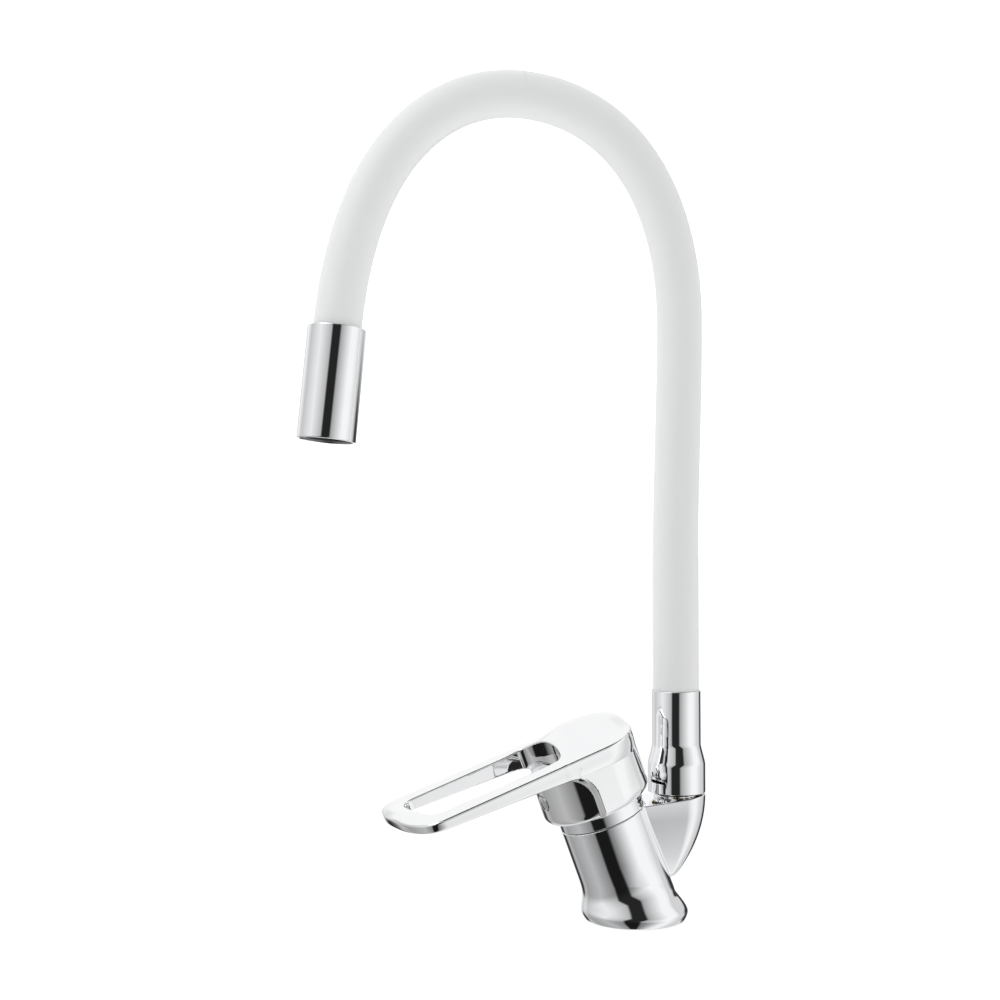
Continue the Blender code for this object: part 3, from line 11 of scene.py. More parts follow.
import bpy
import numpy as np
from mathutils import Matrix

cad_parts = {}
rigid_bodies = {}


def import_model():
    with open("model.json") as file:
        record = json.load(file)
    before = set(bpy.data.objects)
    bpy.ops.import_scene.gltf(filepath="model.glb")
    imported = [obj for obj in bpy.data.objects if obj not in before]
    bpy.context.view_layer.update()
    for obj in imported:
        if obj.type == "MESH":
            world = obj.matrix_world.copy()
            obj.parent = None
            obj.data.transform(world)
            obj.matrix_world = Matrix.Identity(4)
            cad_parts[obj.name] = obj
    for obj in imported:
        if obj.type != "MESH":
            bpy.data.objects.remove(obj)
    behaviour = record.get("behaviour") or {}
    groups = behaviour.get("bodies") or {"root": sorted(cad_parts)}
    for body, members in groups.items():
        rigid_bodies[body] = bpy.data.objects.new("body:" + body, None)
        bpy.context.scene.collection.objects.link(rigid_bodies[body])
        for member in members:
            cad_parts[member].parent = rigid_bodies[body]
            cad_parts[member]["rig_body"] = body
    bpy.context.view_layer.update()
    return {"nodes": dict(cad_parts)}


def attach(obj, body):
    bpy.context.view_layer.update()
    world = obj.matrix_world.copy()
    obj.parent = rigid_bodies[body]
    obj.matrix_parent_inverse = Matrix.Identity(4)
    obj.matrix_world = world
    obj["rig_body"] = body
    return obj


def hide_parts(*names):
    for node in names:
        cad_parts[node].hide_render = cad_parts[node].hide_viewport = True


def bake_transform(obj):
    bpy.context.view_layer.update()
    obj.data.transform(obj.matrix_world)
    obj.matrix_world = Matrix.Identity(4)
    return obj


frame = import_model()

Array = np.ndarray
Field = Callable[[Array], Array]
Band = tuple[tuple[tuple[float, float], ...], tuple[tuple[float, float], ...]]

MM = 0.001
TINY = 1e-6
LOG = logging.getLogger("faucet")

# Inputs and output of a mix node that mixes colours.
MIX_FIRST, MIX_SECOND, MIX_RESULT = 6, 7, 2
# Length over which a wave texture of scale 1 repeats.
WAVE_PERIOD = 0.314
LEAST_ROUGHNESS = 0.02
FULL_TURN, HALF_TURN = 360.0, 180.0
WHITE = (1.0, 1.0, 1.0, 1.0)
# Steps of the full turn on a plated piece, and rounding of an edge that is only broken.
TURN_STEPS = 128
BROKEN_EDGE = 0.2


class Body(Enum):
    """Moving bodies of the faucet."""

    MIXER = "mixer"
    LEVER = "lever"
    SPOUT = "spout"
    CROWN = "crown"
    OUTLET = "outlet"


# Colour and nodes
def linear(code: str) -> tuple[float, float, float, float]:
    """Turn an sRGB hex colour to a linear one.

    Args:
        code: colour such as "#E4E5E5".

    Returns:
        Linear red, green, blue and an alpha of 1.
    """
    values = np.array([int(code[place:place + 2], 16) for place in (1, 3, 5)]) / 255.0
    made = np.where(values <= 0.04045, values / 12.92, ((values + 0.055) / 1.055) ** 2.4)
    return (float(made[0]), float(made[1]), float(made[2]), 1.0)


def add_node(tree: bpy.types.NodeTree, kind: str, settings: Optional[dict] = None,
             links: Optional[dict] = None) -> bpy.types.Node:
    """Add one node with its settings and links.

    Args:
        tree: node tree that takes the node.
        kind: Blender's type name of the node.
        settings: node properties by name, and socket values by name or number.
        links: output sockets by the name or number of the input they go to.

    Returns:
        The new node.
    """
    node = tree.nodes.new(kind)
    for key, value in (settings or {}).items():
        if isinstance(key, str) and hasattr(node, key):
            setattr(node, key, value)
        else:
            node.inputs[key].default_value = value
    for key, socket in (links or {}).items():
        tree.links.new(socket, node.inputs[key])
    return node


def set_ramp(ramp: bpy.types.Node, stops: Sequence[tuple[float, float]]) -> None:
    """Give a colour ramp its grey stops.

    Args:
        ramp: colour ramp node.
        stops: pairs of place and grey level, both from 0 to 1, in rising order.
    """
    elements = ramp.color_ramp.elements
    while len(elements) < len(stops):
        elements.new(1.0)
    for element, (place, level) in zip(elements, stops):
        element.position = place
        element.color = (level, level, level, 1.0)


@dataclass(frozen=True)
class Finish:
    """Finish of one real material: its colours, gloss and the grain of its surface."""

    name: str
    colour: str
    drift: str
    slot: str
    metallic: float = 0.0
    roughness: float = 0.4
    roughness_spread: float = 0.05
    grain: float = 1.0
    relief: float = 0.0
    ior: float = 1.5

    def pattern(self, tree: bpy.types.NodeTree) -> bpy.types.NodeSocket:
        """Grain of the surface as an even noise.

        Args:
            tree: node tree of the material.

        Returns:
            Socket that runs from 0 to 1 over the grain.
        """
        place = add_node(tree, "ShaderNodeTexCoord")
        noise = add_node(tree, "ShaderNodeTexNoise", {"Scale": 1.0 / (self.grain * MM), "Detail": 4.0},
                         {"Vector": place.outputs["Object"]})
        return noise.outputs["Fac"]

    def build(self) -> bpy.types.Material:
        """Make the material.

        Returns:
            Principled material whose colour, roughness and relief follow the grain.
        """
        made = bpy.data.materials.new(self.name)
        made.use_nodes = True
        tree = made.node_tree
        shader = tree.nodes["Principled BSDF"]
        shader.inputs["Metallic"].default_value = self.metallic
        if self.metallic < 0.5:
            shader.inputs["IOR"].default_value = self.ior
        grain = self.pattern(tree)
        colour = add_node(tree, "ShaderNodeMix",
                          {"data_type": "RGBA", MIX_FIRST: linear(self.colour),
                           MIX_SECOND: linear(self.drift)},
                          {0: grain})
        gloss = add_node(tree, "ShaderNodeMapRange",
                         {"To Min": max(self.roughness - self.roughness_spread, LEAST_ROUGHNESS),
                          "To Max": self.roughness + self.roughness_spread}, {"Value": grain})
        tree.links.new(colour.outputs[MIX_RESULT], shader.inputs["Base Color"])
        tree.links.new(gloss.outputs["Result"], shader.inputs["Roughness"])
        if self.relief > 0.0:
            bump = add_node(tree, "ShaderNodeBump", {"Strength": 1.0, "Distance": self.relief * MM},
                            {"Height": grain})
            tree.links.new(bump.outputs["Normal"], shader.inputs["Normal"])
        return made


@dataclass(frozen=True)
class TurnedFinish(Finish):
    """Finish of a piece cut on a lathe, whose tool leaves fine rings along the upright axis."""

    def pattern(self, tree: bpy.types.NodeTree) -> bpy.types.NodeSocket:
        """Rings of the lathe tool, broken up a little.

        Args:
            tree: node tree of the material.

        Returns:
            Socket that runs from 0 to 1 across each ring.
        """
        place = add_node(tree, "ShaderNodeTexCoord")
        wave = add_node(tree, "ShaderNodeTexWave",
                        {"bands_direction": "Z", "Scale": WAVE_PERIOD / (self.grain * MM), "Distortion": 1.5,
                         "Detail": 2.0}, {"Vector": place.outputs["Object"]})
        return wave.outputs["Fac"]


# Chromium plate over polished brass: a clear mirror, with a faint waviness from buffing.
CHROME = Finish("polished_chrome_plate", "#F7F8F9", "#F1F2F4", "chrome",
                metallic=1.0, roughness=0.028, roughness_spread=0.008, grain=14.0)
# The lever is plated zinc, buffed the same way, and takes a slot of its own.
LEVER_CHROME = replace(CHROME, name="polished_chrome_plate_on_lever", colour="#F8F8F9", drift="#F2F3F4",
                       slot="lever_chrome")
# Turned brass: yellow, semi-bright, with the lathe's rings about 0.4 mm apart.
BRASS = TurnedFinish("turned_brass", "#C9A45A", "#B98F45", "brass",
                     metallic=1.0, roughness=0.26, roughness_spread=0.06, grain=0.4, relief=0.01)
# Drawn stainless steel: grey, satin, with fine marks.
STEEL = TurnedFinish("satin_stainless_steel", "#B4B6B8", "#9FA1A4", "steel",
                     metallic=1.0, roughness=0.24, grain=0.5, relief=0.008)
# Polished steel plug: a small bright dome.
PLUG_STEEL = Finish("polished_steel_plug", "#DCDDDF", "#CFD1D3", "plug_metal",
                    metallic=1.0, roughness=0.07, roughness_spread=0.02, grain=3.0)
# Moulded silicone: matt white, faintly soft, with the fine tooth of the mould, drawn at 0.6 mm.
SILICONE = Finish("moulded_white_silicone", "#EBECEC", "#E6E8E8", "white_silicone",
                  roughness=0.48, grain=0.6, relief=0.006, ior=1.41)
# Extruded rubber hose: mid grey and matt.
HOSE_RUBBER = Finish("extruded_hose_rubber", "#8F9092", "#848587", "hose_rubber",
                     roughness=0.6, grain=1.2, relief=0.01, ior=1.52)
# Nitrile seal rubber: black and matt with a bloom.
SEAL_RUBBER = Finish("nitrile_seal_rubber", "#1B1B1C", "#262627", "seal_rubber",
                     roughness=0.68, roughness_spread=0.06, grain=0.8, relief=0.01, ior=1.52)
# Moulded acetal: milky white with a low gloss.
WHITE_ACETAL = Finish("moulded_white_acetal", "#E8E8E3", "#DFDFDA", "white_plastic",
                      roughness=0.38, grain=0.9, relief=0.006, ior=1.48)
# Moulded nylon, black: a soft low gloss.
BLACK_NYLON = Finish("moulded_black_nylon", "#3A3B3D", "#303133", "dark_plastic",
                     roughness=0.4, roughness_spread=0.06, grain=0.9, relief=0.008, ior=1.53)
# Moulded nylon, grey: the same soft gloss.
GREY_NYLON = Finish("moulded_grey_nylon", "#7B7E7F", "#6F7273", "grey_plastic",
                    roughness=0.42, grain=0.9, relief=0.008, ior=1.53)
# Lapped alumina: ivory, dense and bright.
CERAMIC = Finish("lapped_alumina_ceramic", "#F2EFE8", "#EAE6DD", "disc_ceramic",
                 roughness=0.16, roughness_spread=0.04, grain=0.5, ior=1.76)

CARRIED_NODES = {
    BRASS: ("cartridge_nut", "spout_nipple", "spout_insert", "hose_fitting"),
    STEEL: ("stem_pin", "lever_stem", "lever_set_screw"),
    SEAL_RUBBER: ("base_gasket", "port_seal_left", "port_seal_right", "port_seal_outlet", "lower_o_ring",
                  "upper_o_ring", "aerator_seal"),
    WHITE_ACETAL: ("cartridge_housing", "retaining_clip", "aerator_insert"),
    BLACK_NYLON: ("stem_carrier", "swivel_washer"),
    GREY_NYLON: ("disc_carrier",),
    CERAMIC: ("fixed_ceramic_disc", "moving_ceramic_disc"),
}
BUILT: dict[Finish, bpy.types.Material] = {}


def material_of(finish: Finish) -> bpy.types.Material:
    """Material of a finish, made the first time it is asked for."""
    if finish not in BUILT:
        BUILT[finish] = finish.build()
    return BUILT[finish]


# Places
@dataclass(frozen=True)
class Placement:
    """Frame of a sub-assembly: an origin, a tilt about X and a turn about its own upright axis."""

    origin: tuple[float, float, float] = (0.0, 0.0, 0.0)
    tilt: float = 0.0
    turn: float = 0.0

    def axes(self) -> Array:
        """Rotation matrix: the tilt about X times the turn about Z."""
        lean, spin = np.radians(self.tilt), np.radians(self.turn)
        about_x = np.array([[1.0, 0.0, 0.0],
                            [0.0, np.cos(lean), -np.sin(lean)],
                            [0.0, np.sin(lean), np.cos(lean)]])
        about_z = np.array([[np.cos(spin), -np.sin(spin), 0.0],
                            [np.sin(spin), np.cos(spin), 0.0],
                            [0.0, 0.0, 1.0]])
        return about_x @ about_z

    def points(self, local: Array) -> Array:
        """World places of local points."""
        return local @ self.axes().T + np.array(self.origin)

    def directions(self, local: Array) -> Array:
        """World directions of local ones."""
        return local @ self.axes().T

    def local(self, world: Array) -> Array:
        """Local places of world points."""
        return (world - np.array(self.origin)) @ self.axes()


WORLD = Placement()
# Axis of the column, which leans towards the lever.
LEAN = Placement(origin=(0.0, 1.8, 0.0), tilt=20.0)
# The lever turns about that axis, and rests a little off the column's front.
LEVER_PLACE = replace(LEAN, turn=8.0)
# Upright axis of the ferrule.
RISER = Placement(origin=(0.0, 24.2, 0.0))
# Top of the outlet head, which leans out.
HEAD = Placement(origin=(0.0, -157.2, 299.8), tilt=-5.5)


# Meshes
@dataclass
class Shell:
    """Closed surface before it becomes a mesh."""

    points: Array
    faces: Array
    normals: Optional[Array] = None


def split_faces(faces: Array) -> list[list[int]]:
    """Faces as lists, with a quad that has lost a side turned to a triangle.

    Args:
        faces: rows of four point numbers.

    Returns:
        Lists of four or three numbers.
    """
    same = faces == np.roll(faces, -1, axis=1)
    whole = faces[~same.any(axis=1)]
    short = faces[same.sum(axis=1) == 1]
    kept = ~same[same.sum(axis=1) == 1]
    return whole.tolist() + short[kept].reshape(-1, 3).tolist()


def make_piece(name: str, shell: Shell, finish: Finish, body: Body,
               place: Placement = WORLD) -> bpy.types.Object:
    """Make an object of a surface, dress it and let it ride on its body.

    Args:
        name: piece name.
        shell: closed surface in local millimetres.
        finish: finish of the whole piece.
        body: body that the piece moves with.
        place: frame of the surface.

    Returns:
        The object, at the origin, with its place in its mesh.
    """
    mesh = bpy.data.meshes.new(name)
    mesh.from_pydata((place.points(shell.points) * MM).tolist(), [], split_faces(shell.faces))
    mesh.shade_smooth()
    if shell.normals is not None:
        mesh.normals_split_custom_set_from_vertices(place.directions(shell.normals).tolist())
    mesh.materials.append(material_of(finish))
    made = bpy.data.objects.new(name, mesh)
    bpy.context.scene.collection.objects.link(made)
    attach(made, body.value)
    LOG.info("%s: %d faces on %s", name, len(mesh.polygons), body.value)
    return made


def grid_faces(rows: int, columns: int, close_rows: bool) -> Array:
    """Quads of a grid whose columns run round and close.

    Args:
        rows: number of rows.
        columns: points in a row.
        close_rows: whether the last row joins the first.

    Returns:
        Rows of four point numbers, counter-clockwise seen from outside.
    """
    row = np.arange(rows if close_rows else rows - 1)[:, None]
    column = np.arange(columns)[None, :]
    following_row, following_column = (row + 1) % rows, (column + 1) % columns
    corners = (row * columns + column, following_row * columns + column,
               following_row * columns + following_column, row * columns + following_column)
    spread = [np.broadcast_to(corner, (len(row), columns)) for corner in corners]
    return np.stack(spread, axis=-1).reshape(-1, 4)


def rounded_outline(corners: Sequence[tuple[float, float, float]], closed: bool,
                    steps: int) -> tuple[Array, Array]:
    """Round the corners of a turned outline.

    Each corner becomes an arc that touches both of its sides: its centre lies on their bisector, at the
    radius over the sine of half their angle from the corner.

    Args:
        corners: radius, height and rounding of each corner, outer side from top to bottom.
        closed: whether the last corner joins the first.
        steps: stretches of an arc.

    Returns:
        Points (radius, height) and their outward normals.
    """
    count = len(corners)
    points: list[Array] = []
    normals: list[Array] = []
    for index, (radius, height, rounding) in enumerate(corners):
        here = np.array([radius, height])
        before = np.array(corners[index - 1][:2]) if closed or index > 0 else None
        after = np.array(corners[(index + 1) % count][:2]) if closed or index < count - 1 else None
        if before is None or after is None:
            along = (after - here) if before is None else (here - before)
            along = along / np.linalg.norm(along)
            points.append(here[None])
            normals.append(np.array([[-along[1], along[0]]]))
            continue
        into, out = here - before, after - here
        into, out = into / np.linalg.norm(into), out / np.linalg.norm(out)
        first, last = np.array([-into[1], into[0]]), np.array([-out[1], out[0]])
        turn = np.arctan2(into[0] * out[1] - into[1] * out[0], into @ out)
        reach = rounding * abs(np.tan(turn / 2))
        share = np.linspace(0.0, 1.0, steps + 1)[:, None] * turn
        swept = np.hstack([first[0] * np.cos(share) - first[1] * np.sin(share),
                           first[0] * np.sin(share) + first[1] * np.cos(share)])
        side = 1.0 if turn < 0 else -1.0
        centre = here - into * reach - first * rounding * side
        points.append(centre + swept * rounding * side)
        normals.append(swept)
    return np.vstack(points), np.vstack(normals)


def turned(outline: tuple[Array, Array], steps: int, closed: bool = False) -> Shell:
    """Carry a turned outline round the upright axis.

    Point (u, v) is (r(u) cos v, r(u) sin v, h(u)), and its normal is the outline's own, turned the same way.

    Args:
        outline: points (radius, height) and their normals.
        steps: steps of the full turn.
        closed: whether the outline closes on itself.

    Returns:
        Closed surface, with one point where the outline meets the axis.
    """
    points, normals = outline
    angle = np.linspace(0.0, 2.0 * np.pi, steps, endpoint=False)
    ring = np.stack([np.cos(angle), np.sin(angle)], axis=-1)

    def spread(pairs: Array) -> Array:
        """Carry pairs of outward and upward values round the axis."""
        around = pairs[:, None, :1] * ring[None]
        up = np.broadcast_to(pairs[:, None, 1:], (len(pairs), steps, 1))
        return np.concatenate([around, up], axis=-1).reshape(-1, 3)

    faces = grid_faces(len(points), steps, closed)
    on_axis = np.repeat(points[:, 0] < TINY, steps)
    number = np.arange(len(points) * steps)
    number = np.where(on_axis, number - number % steps, number)
    kept, renumbered = np.unique(number, return_inverse=True)
    return Shell(spread(points)[kept], renumbered[faces], spread(normals)[kept])


# Fields: a piece is where its field is below nought
def fillet(first: Array, second: Array, radius: Any) -> Array:
    """Join two fields, with a fillet where they meet.

    The lower of both, less the square of how far their difference stays under the radius, over four radii.

    Args:
        first: one field.
        second: the other field.
        radius: reach of the fillet.

    Returns:
        Field of both together.
    """
    near = np.maximum(radius - np.abs(first - second), 0.0)
    return np.minimum(first, second) - near * near / (4.0 * radius)


def trim(first: Array, second: Array, radius: Any) -> Array:
    """Keep what two fields share, with a rounded edge where they meet."""
    return -fillet(-first, -second, radius)


def ease(value: Array) -> Array:
    """Rise smoothly from 0 to 1 while the value does: three squares less two cubes."""
    held = np.clip(value, 0.0, 1.0)
    return held * held * (3.0 - 2.0 * held)


def gradient(shape: Field, points: Array, step: float = 0.02) -> Array:
    """Slope of a field at points, from its values a step to each side."""
    moves = np.eye(3) * step
    return np.stack([(shape(points + move) - shape(points - move)) / (2 * step) for move in moves], axis=-1)


CELL_CORNERS = np.array([(x, y, z) for x in (0, 1) for y in (0, 1) for z in (0, 1)])
CELL_EDGES = [(first, second) for first in range(8) for second in range(first + 1, 8)
              if np.abs(CELL_CORNERS[first] - CELL_CORNERS[second]).sum() == 1]
# Rounds of drawing the net's points together, and of moving them back to the surface in each.
RELAX_ROUNDS = 3
SETTLE_ROUNDS = 3
# Least squared slope that a move counts on, and the longest move as a share of a cell.
LEAST_SLOPE = 0.05
LONGEST_MOVE = 0.5


def level_surface(shape: Field, low: Sequence[float], high: Sequence[float], pitch: float) -> Shell:
    """Surface where a field is nought, as a net of quads over a grid of cells.

    Each cell that the surface crosses gets one point, at the mean of the crossings of its edges, and each
    edge that it crosses joins the points of the four cells round it. Then every point is moved along the
    field's slope by the field over the slope's length, which puts it on the surface, between rounds in
    which it is drawn to the mean of its neighbours.

    Args:
        shape: field of a piece, below nought inside.
        low: lowest corner of the grid.
        high: highest corner of the grid.
        pitch: size of a cell.

    Returns:
        Closed surface with the field's own slope as its normals.
    """
    axes = [np.arange(start, end + pitch, pitch) for start, end in zip(low, high)]
    counts = [len(axis) for axis in axes]
    values = np.empty(counts)
    for index in range(counts[0]):
        sheet = np.stack(np.meshgrid(axes[0][index:index + 1], axes[1], axes[2], indexing="ij"), axis=-1)
        values[index] = shape(sheet.reshape(-1, 3)).reshape(counts[1:])
    inside = values < 0.0
    views = [inside[x:counts[0] - 1 + x, y:counts[1] - 1 + y, z:counts[2] - 1 + z]
             for x, y, z in CELL_CORNERS]
    filled = sum(view.astype(np.int8) for view in views)
    cells = np.argwhere((filled > 0) & (filled < 8))
    number = np.full(filled.shape, -1)
    number[tuple(cells.T)] = np.arange(len(cells))
    corner_values = np.stack([values[tuple((cells + corner).T)] for corner in CELL_CORNERS], axis=-1)
    total, crossings = np.zeros((len(cells), 3)), np.zeros(len(cells))
    for first, second in CELL_EDGES:
        start, end = corner_values[:, first], corner_values[:, second]
        crossed = (start < 0.0) != (end < 0.0)
        share = np.where(crossed, start / np.where(crossed, start - end, 1.0), 0.0)[:, None]
        place = CELL_CORNERS[first] + (CELL_CORNERS[second] - CELL_CORNERS[first]) * share
        total += np.where(crossed[:, None], place, 0.0)
        crossings += crossed
    points = np.array(low) + (cells + total / crossings[:, None]) * pitch
    faces = net_faces(inside, number)
    for _ in range(RELAX_ROUNDS):
        points = settle(shape, relax(points, faces), pitch)
    slope = gradient(shape, points)
    return Shell(points, faces, slope / np.linalg.norm(slope, axis=1, keepdims=True))


def net_faces(inside: Array, number: Array) -> Array:
    """Quads of the net, one for each grid edge that the surface crosses.

    Args:
        inside: whether each grid point is inside.
        number: point number of each cell, or -1.

    Returns:
        Rows of four point numbers, facing outwards.
    """
    found = []
    for axis in range(3):
        second, third = (axis + 1) % 3, (axis + 2) % 3
        start = np.take(inside, range(inside.shape[axis] - 1), axis=axis)
        end = np.take(inside, range(1, inside.shape[axis]), axis=axis)
        edges = np.argwhere(start != end)
        back_second, back_third = np.zeros(3, int), np.zeros(3, int)
        back_second[second], back_third[third] = 1, 1
        ring = [edges - back_second - back_third, edges - back_third, edges, edges - back_second]
        quad = np.stack([number[tuple(cell.T)] for cell in ring], axis=-1)
        outward = start[tuple(edges.T)]
        found.append(np.where(outward[:, None], quad, quad[:, ::-1]))
    return np.vstack(found)


def relax(points: Array, faces: Array) -> Array:
    """Draw each point half way to the mean of its neighbours along the net."""
    starts, ends = faces.ravel(), np.roll(faces, -1, axis=1).ravel()
    total = np.stack([np.bincount(starts, points[ends, axis], len(points)) for axis in range(3)], axis=-1)
    number = np.bincount(starts, minlength=len(points))[:, None]
    return 0.5 * points + 0.5 * total / number


def settle(shape: Field, points: Array, pitch: float) -> Array:
    """Move points along the field's slope onto its surface, by at most half a cell at a time."""
    for _ in range(SETTLE_ROUNDS):
        slope = gradient(shape, points)
        size = np.maximum((slope * slope).sum(axis=1), LEAST_SLOPE)
        move = slope * (shape(points) / size)[:, None]
        length = np.linalg.norm(move, axis=1, keepdims=True)
        points = points - move * np.minimum(1.0, LONGEST_MOVE * pitch / np.maximum(length, TINY))
    return points


@dataclass(frozen=True)
class MixerBody:
    """Cast and plated body: a bell foot, a leaning column and the boss that carries the spout."""

    contact_radius: float = 25.95
    widest_radius: float = 27.6
    widest_height: float = 4.3
    foot_height: float = 21.0
    neck_radius: float = 21.4
    neck_power: float = 0.85
    forward_sweep: float = 4.6
    sweep_power: float = 1.2
    foot_crop: float = 40.0
    foot_crop_rounding: float = 3.0
    foot_taper: float = 0.25
    deck_rounding: float = 0.5
    column_start: float = 9.6
    column_start_rounding: float = 2.0
    column_top: float = 56.5
    column_top_rounding: float = 0.6
    lower_radius: float = 22.2
    upper_radius: float = 22.7
    column_fillet: float = 4.0
    boss_radius: float = 15.1
    boss_bottom: float = 19.7
    boss_bottom_rounding: float = 2.0
    boss_top: float = 63.2
    boss_top_rounding: float = 0.9
    boss_fillet: float = 0.8
    keel_share: float = 0.2
    keel_power: float = 0.78
    keel_draw: float = 5.5
    draw_power: float = 2.2
    front_setback: float = 12.0
    front_half_width: float = 14.2
    front_share: float = 0.93
    steepest_side: float = 0.9
    top_tilt: float = 5.5
    seat_radius: float = 11.8
    seat_top: float = 62.9
    chamber_radius: float = 18.0
    chamber_floor: float = 33.0
    thread_radius: float = 19.9
    thread_start: float = 47.5
    bore_radius: float = 7.5
    bore_floor: float = 34.0
    inlet_place: tuple[float, float] = (10.5, 2.0)
    inlet_radius: float = 4.5
    inlet_depth: float = 13.0
    stud_place: tuple[float, float] = (0.0, 14.0)
    stud_radius: float = 3.4
    stud_depth: float = 15.0
    gasket_radii: tuple[float, float] = (20.9, 24.1)
    gasket_depth: float = 1.9
    pitch: float = 0.6
    box_low: tuple[float, float, float] = (-29.0, -41.0, -1.3)
    box_high: tuple[float, float, float] = (29.0, 42.0, 65.0)

    def foot(self, points: Array) -> Array:
        """Bell of the foot.

        Its radius swells as a quarter sine to the widest height, then draws in along a smooth step to the
        neck, while its centre sweeps forward. Above the neck it tapers away inside the leaning column.

        Args:
            points: world points.

        Returns:
            Field of the foot.
        """
        x, y, z = points.T
        part = np.clip((z - self.widest_height) / (self.foot_height - self.widest_height), 0.0, 1.0)
        swell = np.sin(np.clip(z / self.widest_height, 0.0, 1.0) * np.pi / 2)
        radius = self.contact_radius + (self.widest_radius - self.contact_radius) * swell
        radius = radius - (self.widest_radius - self.neck_radius) * ease(part ** self.neck_power)
        above = np.maximum(z - self.foot_height, 0.0)
        sweep = self.forward_sweep * part ** self.sweep_power + above * np.tan(np.radians(LEAN.tilt))
        bell = np.hypot(x, y + sweep) - radius + self.foot_taper * above
        return trim(trim(bell, z - self.foot_crop, self.foot_crop_rounding), -z, self.deck_rounding)

    def column(self, points: Array) -> Array:
        """Leaning cone frustum: distance from its axis less its radius, between two planes."""
        x, back, along = LEAN.local(points).T
        share = np.clip((along - self.column_start) / (self.column_top - self.column_start), 0.0, 1.0)
        wall = np.hypot(x, back) - (self.lower_radius + (self.upper_radius - self.lower_radius) * share)
        topped = trim(wall, along - self.column_top, self.column_top_rounding)
        return trim(topped, self.column_start - along, self.column_start_rounding)

    def boss(self, points: Array) -> Array:
        """Boss behind the column.

        In plan it is the hull of a back circle and a smaller front one; the back circle grows from a keel
        along a quarter sine while it moves back, and a plane that falls forward closes the top.

        Args:
            points: world points.

        Returns:
            Field of the boss.
        """
        x, y, z = points.T
        back = RISER.origin[1] + self.boss_radius
        slope = np.tan(np.radians(self.top_tilt))
        full = self.boss_top - self.boss_bottom
        height = z - (y - back) * slope * ease((z - self.boss_bottom) / full)
        held = np.clip((height - self.boss_bottom) / full, 0.0, 1.0)
        swell = np.sin(held * np.pi / 2) ** self.keel_power
        radius = self.boss_radius * (self.keel_share + (1 - self.keel_share) * swell)
        centre = RISER.origin[1] - self.keel_draw * (1 - held) ** self.draw_power
        front = LEAN.origin[1] + self.front_setback - height * np.tan(np.radians(LEAN.tilt))
        half = np.minimum(self.front_half_width, radius * self.front_share)
        span = centre - front
        tilt = np.clip((radius - half) / span, -self.steepest_side, self.steepest_side)
        share_along = np.clip(((y - front) + np.abs(x) * tilt / np.sqrt(1 - tilt * tilt)) / span, 0.0, 1.0)
        wall = np.hypot(x, y - front - share_along * span) - (half + (radius - half) * share_along)
        top = z - (self.boss_top + (y - back) * slope)
        return trim(trim(wall, top, self.boss_top_rounding), self.boss_bottom - z, self.boss_bottom_rounding)

    def holes(self, points: Array) -> Array:
        """Chamber, riser bore, inlets, stud socket and gasket groove, as plain cylinders."""
        x, y, z = points.T
        across, back, along = LEAN.local(points).T
        away = np.hypot(across, back)
        chamber = np.maximum(away - self.chamber_radius, self.chamber_floor - along)
        thread = np.maximum(away - self.thread_radius, self.thread_start - along)
        bore = np.maximum(np.hypot(x, y - RISER.origin[1]) - self.bore_radius, self.bore_floor - z)
        from_inlet = np.hypot(np.abs(x) - self.inlet_place[0], y - self.inlet_place[1])
        inlet = np.maximum(from_inlet - self.inlet_radius, z - self.inlet_depth)
        from_stud = np.hypot(x - self.stud_place[0], y - self.stud_place[1])
        stud = np.maximum(from_stud - self.stud_radius, z - self.stud_depth)
        middle, half = np.mean(self.gasket_radii), np.ptp(self.gasket_radii) / 2
        groove = np.maximum(np.abs(np.hypot(x, y) - middle) - half, z - self.gasket_depth)
        return np.minimum.reduce([chamber, thread, bore, inlet, stud, groove])

    def shape(self, points: Array) -> Array:
        """Field of the whole body, with a fillet where the forms meet."""
        outer = fillet(self.foot(points), self.column(points), self.column_fillet)
        outer = fillet(outer, self.boss(points), self.boss_fillet)
        x, y, z = points.T
        seat_base = (self.boss_top + self.bore_floor) / 2
        seat_middle, seat_half = (self.seat_top + seat_base) / 2, (self.seat_top - seat_base) / 2
        seat = np.maximum(np.hypot(x, y - RISER.origin[1]) - self.seat_radius,
                          np.abs(z - seat_middle) - seat_half)
        return np.maximum(np.maximum(np.minimum(outer, seat), -self.holes(points)), -z)

    def build(self) -> None:
        """Build the body and dress it."""
        shell = level_surface(self.shape, self.box_low, self.box_high, self.pitch)
        made = make_piece("plated_mixer_body", shell, CHROME, Body.MIXER)
        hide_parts("mixer_body")


@dataclass(frozen=True)
class TrimRing:
    """Plated ring with a rounded shoulder between the column and the lever."""

    radius: float = 22.7
    bottom: float = 56.8
    straight_top: float = 64.0
    top: float = 68.8
    mouth_radius: float = 14.5
    shoulder_inset: float = 2.6
    shoulder_drop: float = 0.9
    shoulder_rounding: float = 3.0
    wall: float = 1.9
    edge: float = 0.35
    inner_rounding: float = 1.5
    arc_steps: int = 10

    def build(self) -> None:
        """Turn the ring, whose shoulder is a short cone between two arcs, and dress it."""
        inner = self.radius - self.wall
        corners = [(self.mouth_radius, self.top, BROKEN_EDGE),
                   (self.radius - self.shoulder_inset, self.top - self.shoulder_drop, self.shoulder_rounding),
                   (self.radius, self.straight_top, self.shoulder_rounding),
                   (self.radius, self.bottom, self.edge), (inner, self.bottom, BROKEN_EDGE),
                   (inner, self.straight_top, self.inner_rounding),
                   (self.mouth_radius, self.top - self.wall, BROKEN_EDGE)]
        shell = turned(rounded_outline(corners, True, self.arc_steps), TURN_STEPS, True)
        made = make_piece("plated_trim_ring", shell, CHROME, Body.MIXER, LEAN)
        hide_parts("trim_ring")


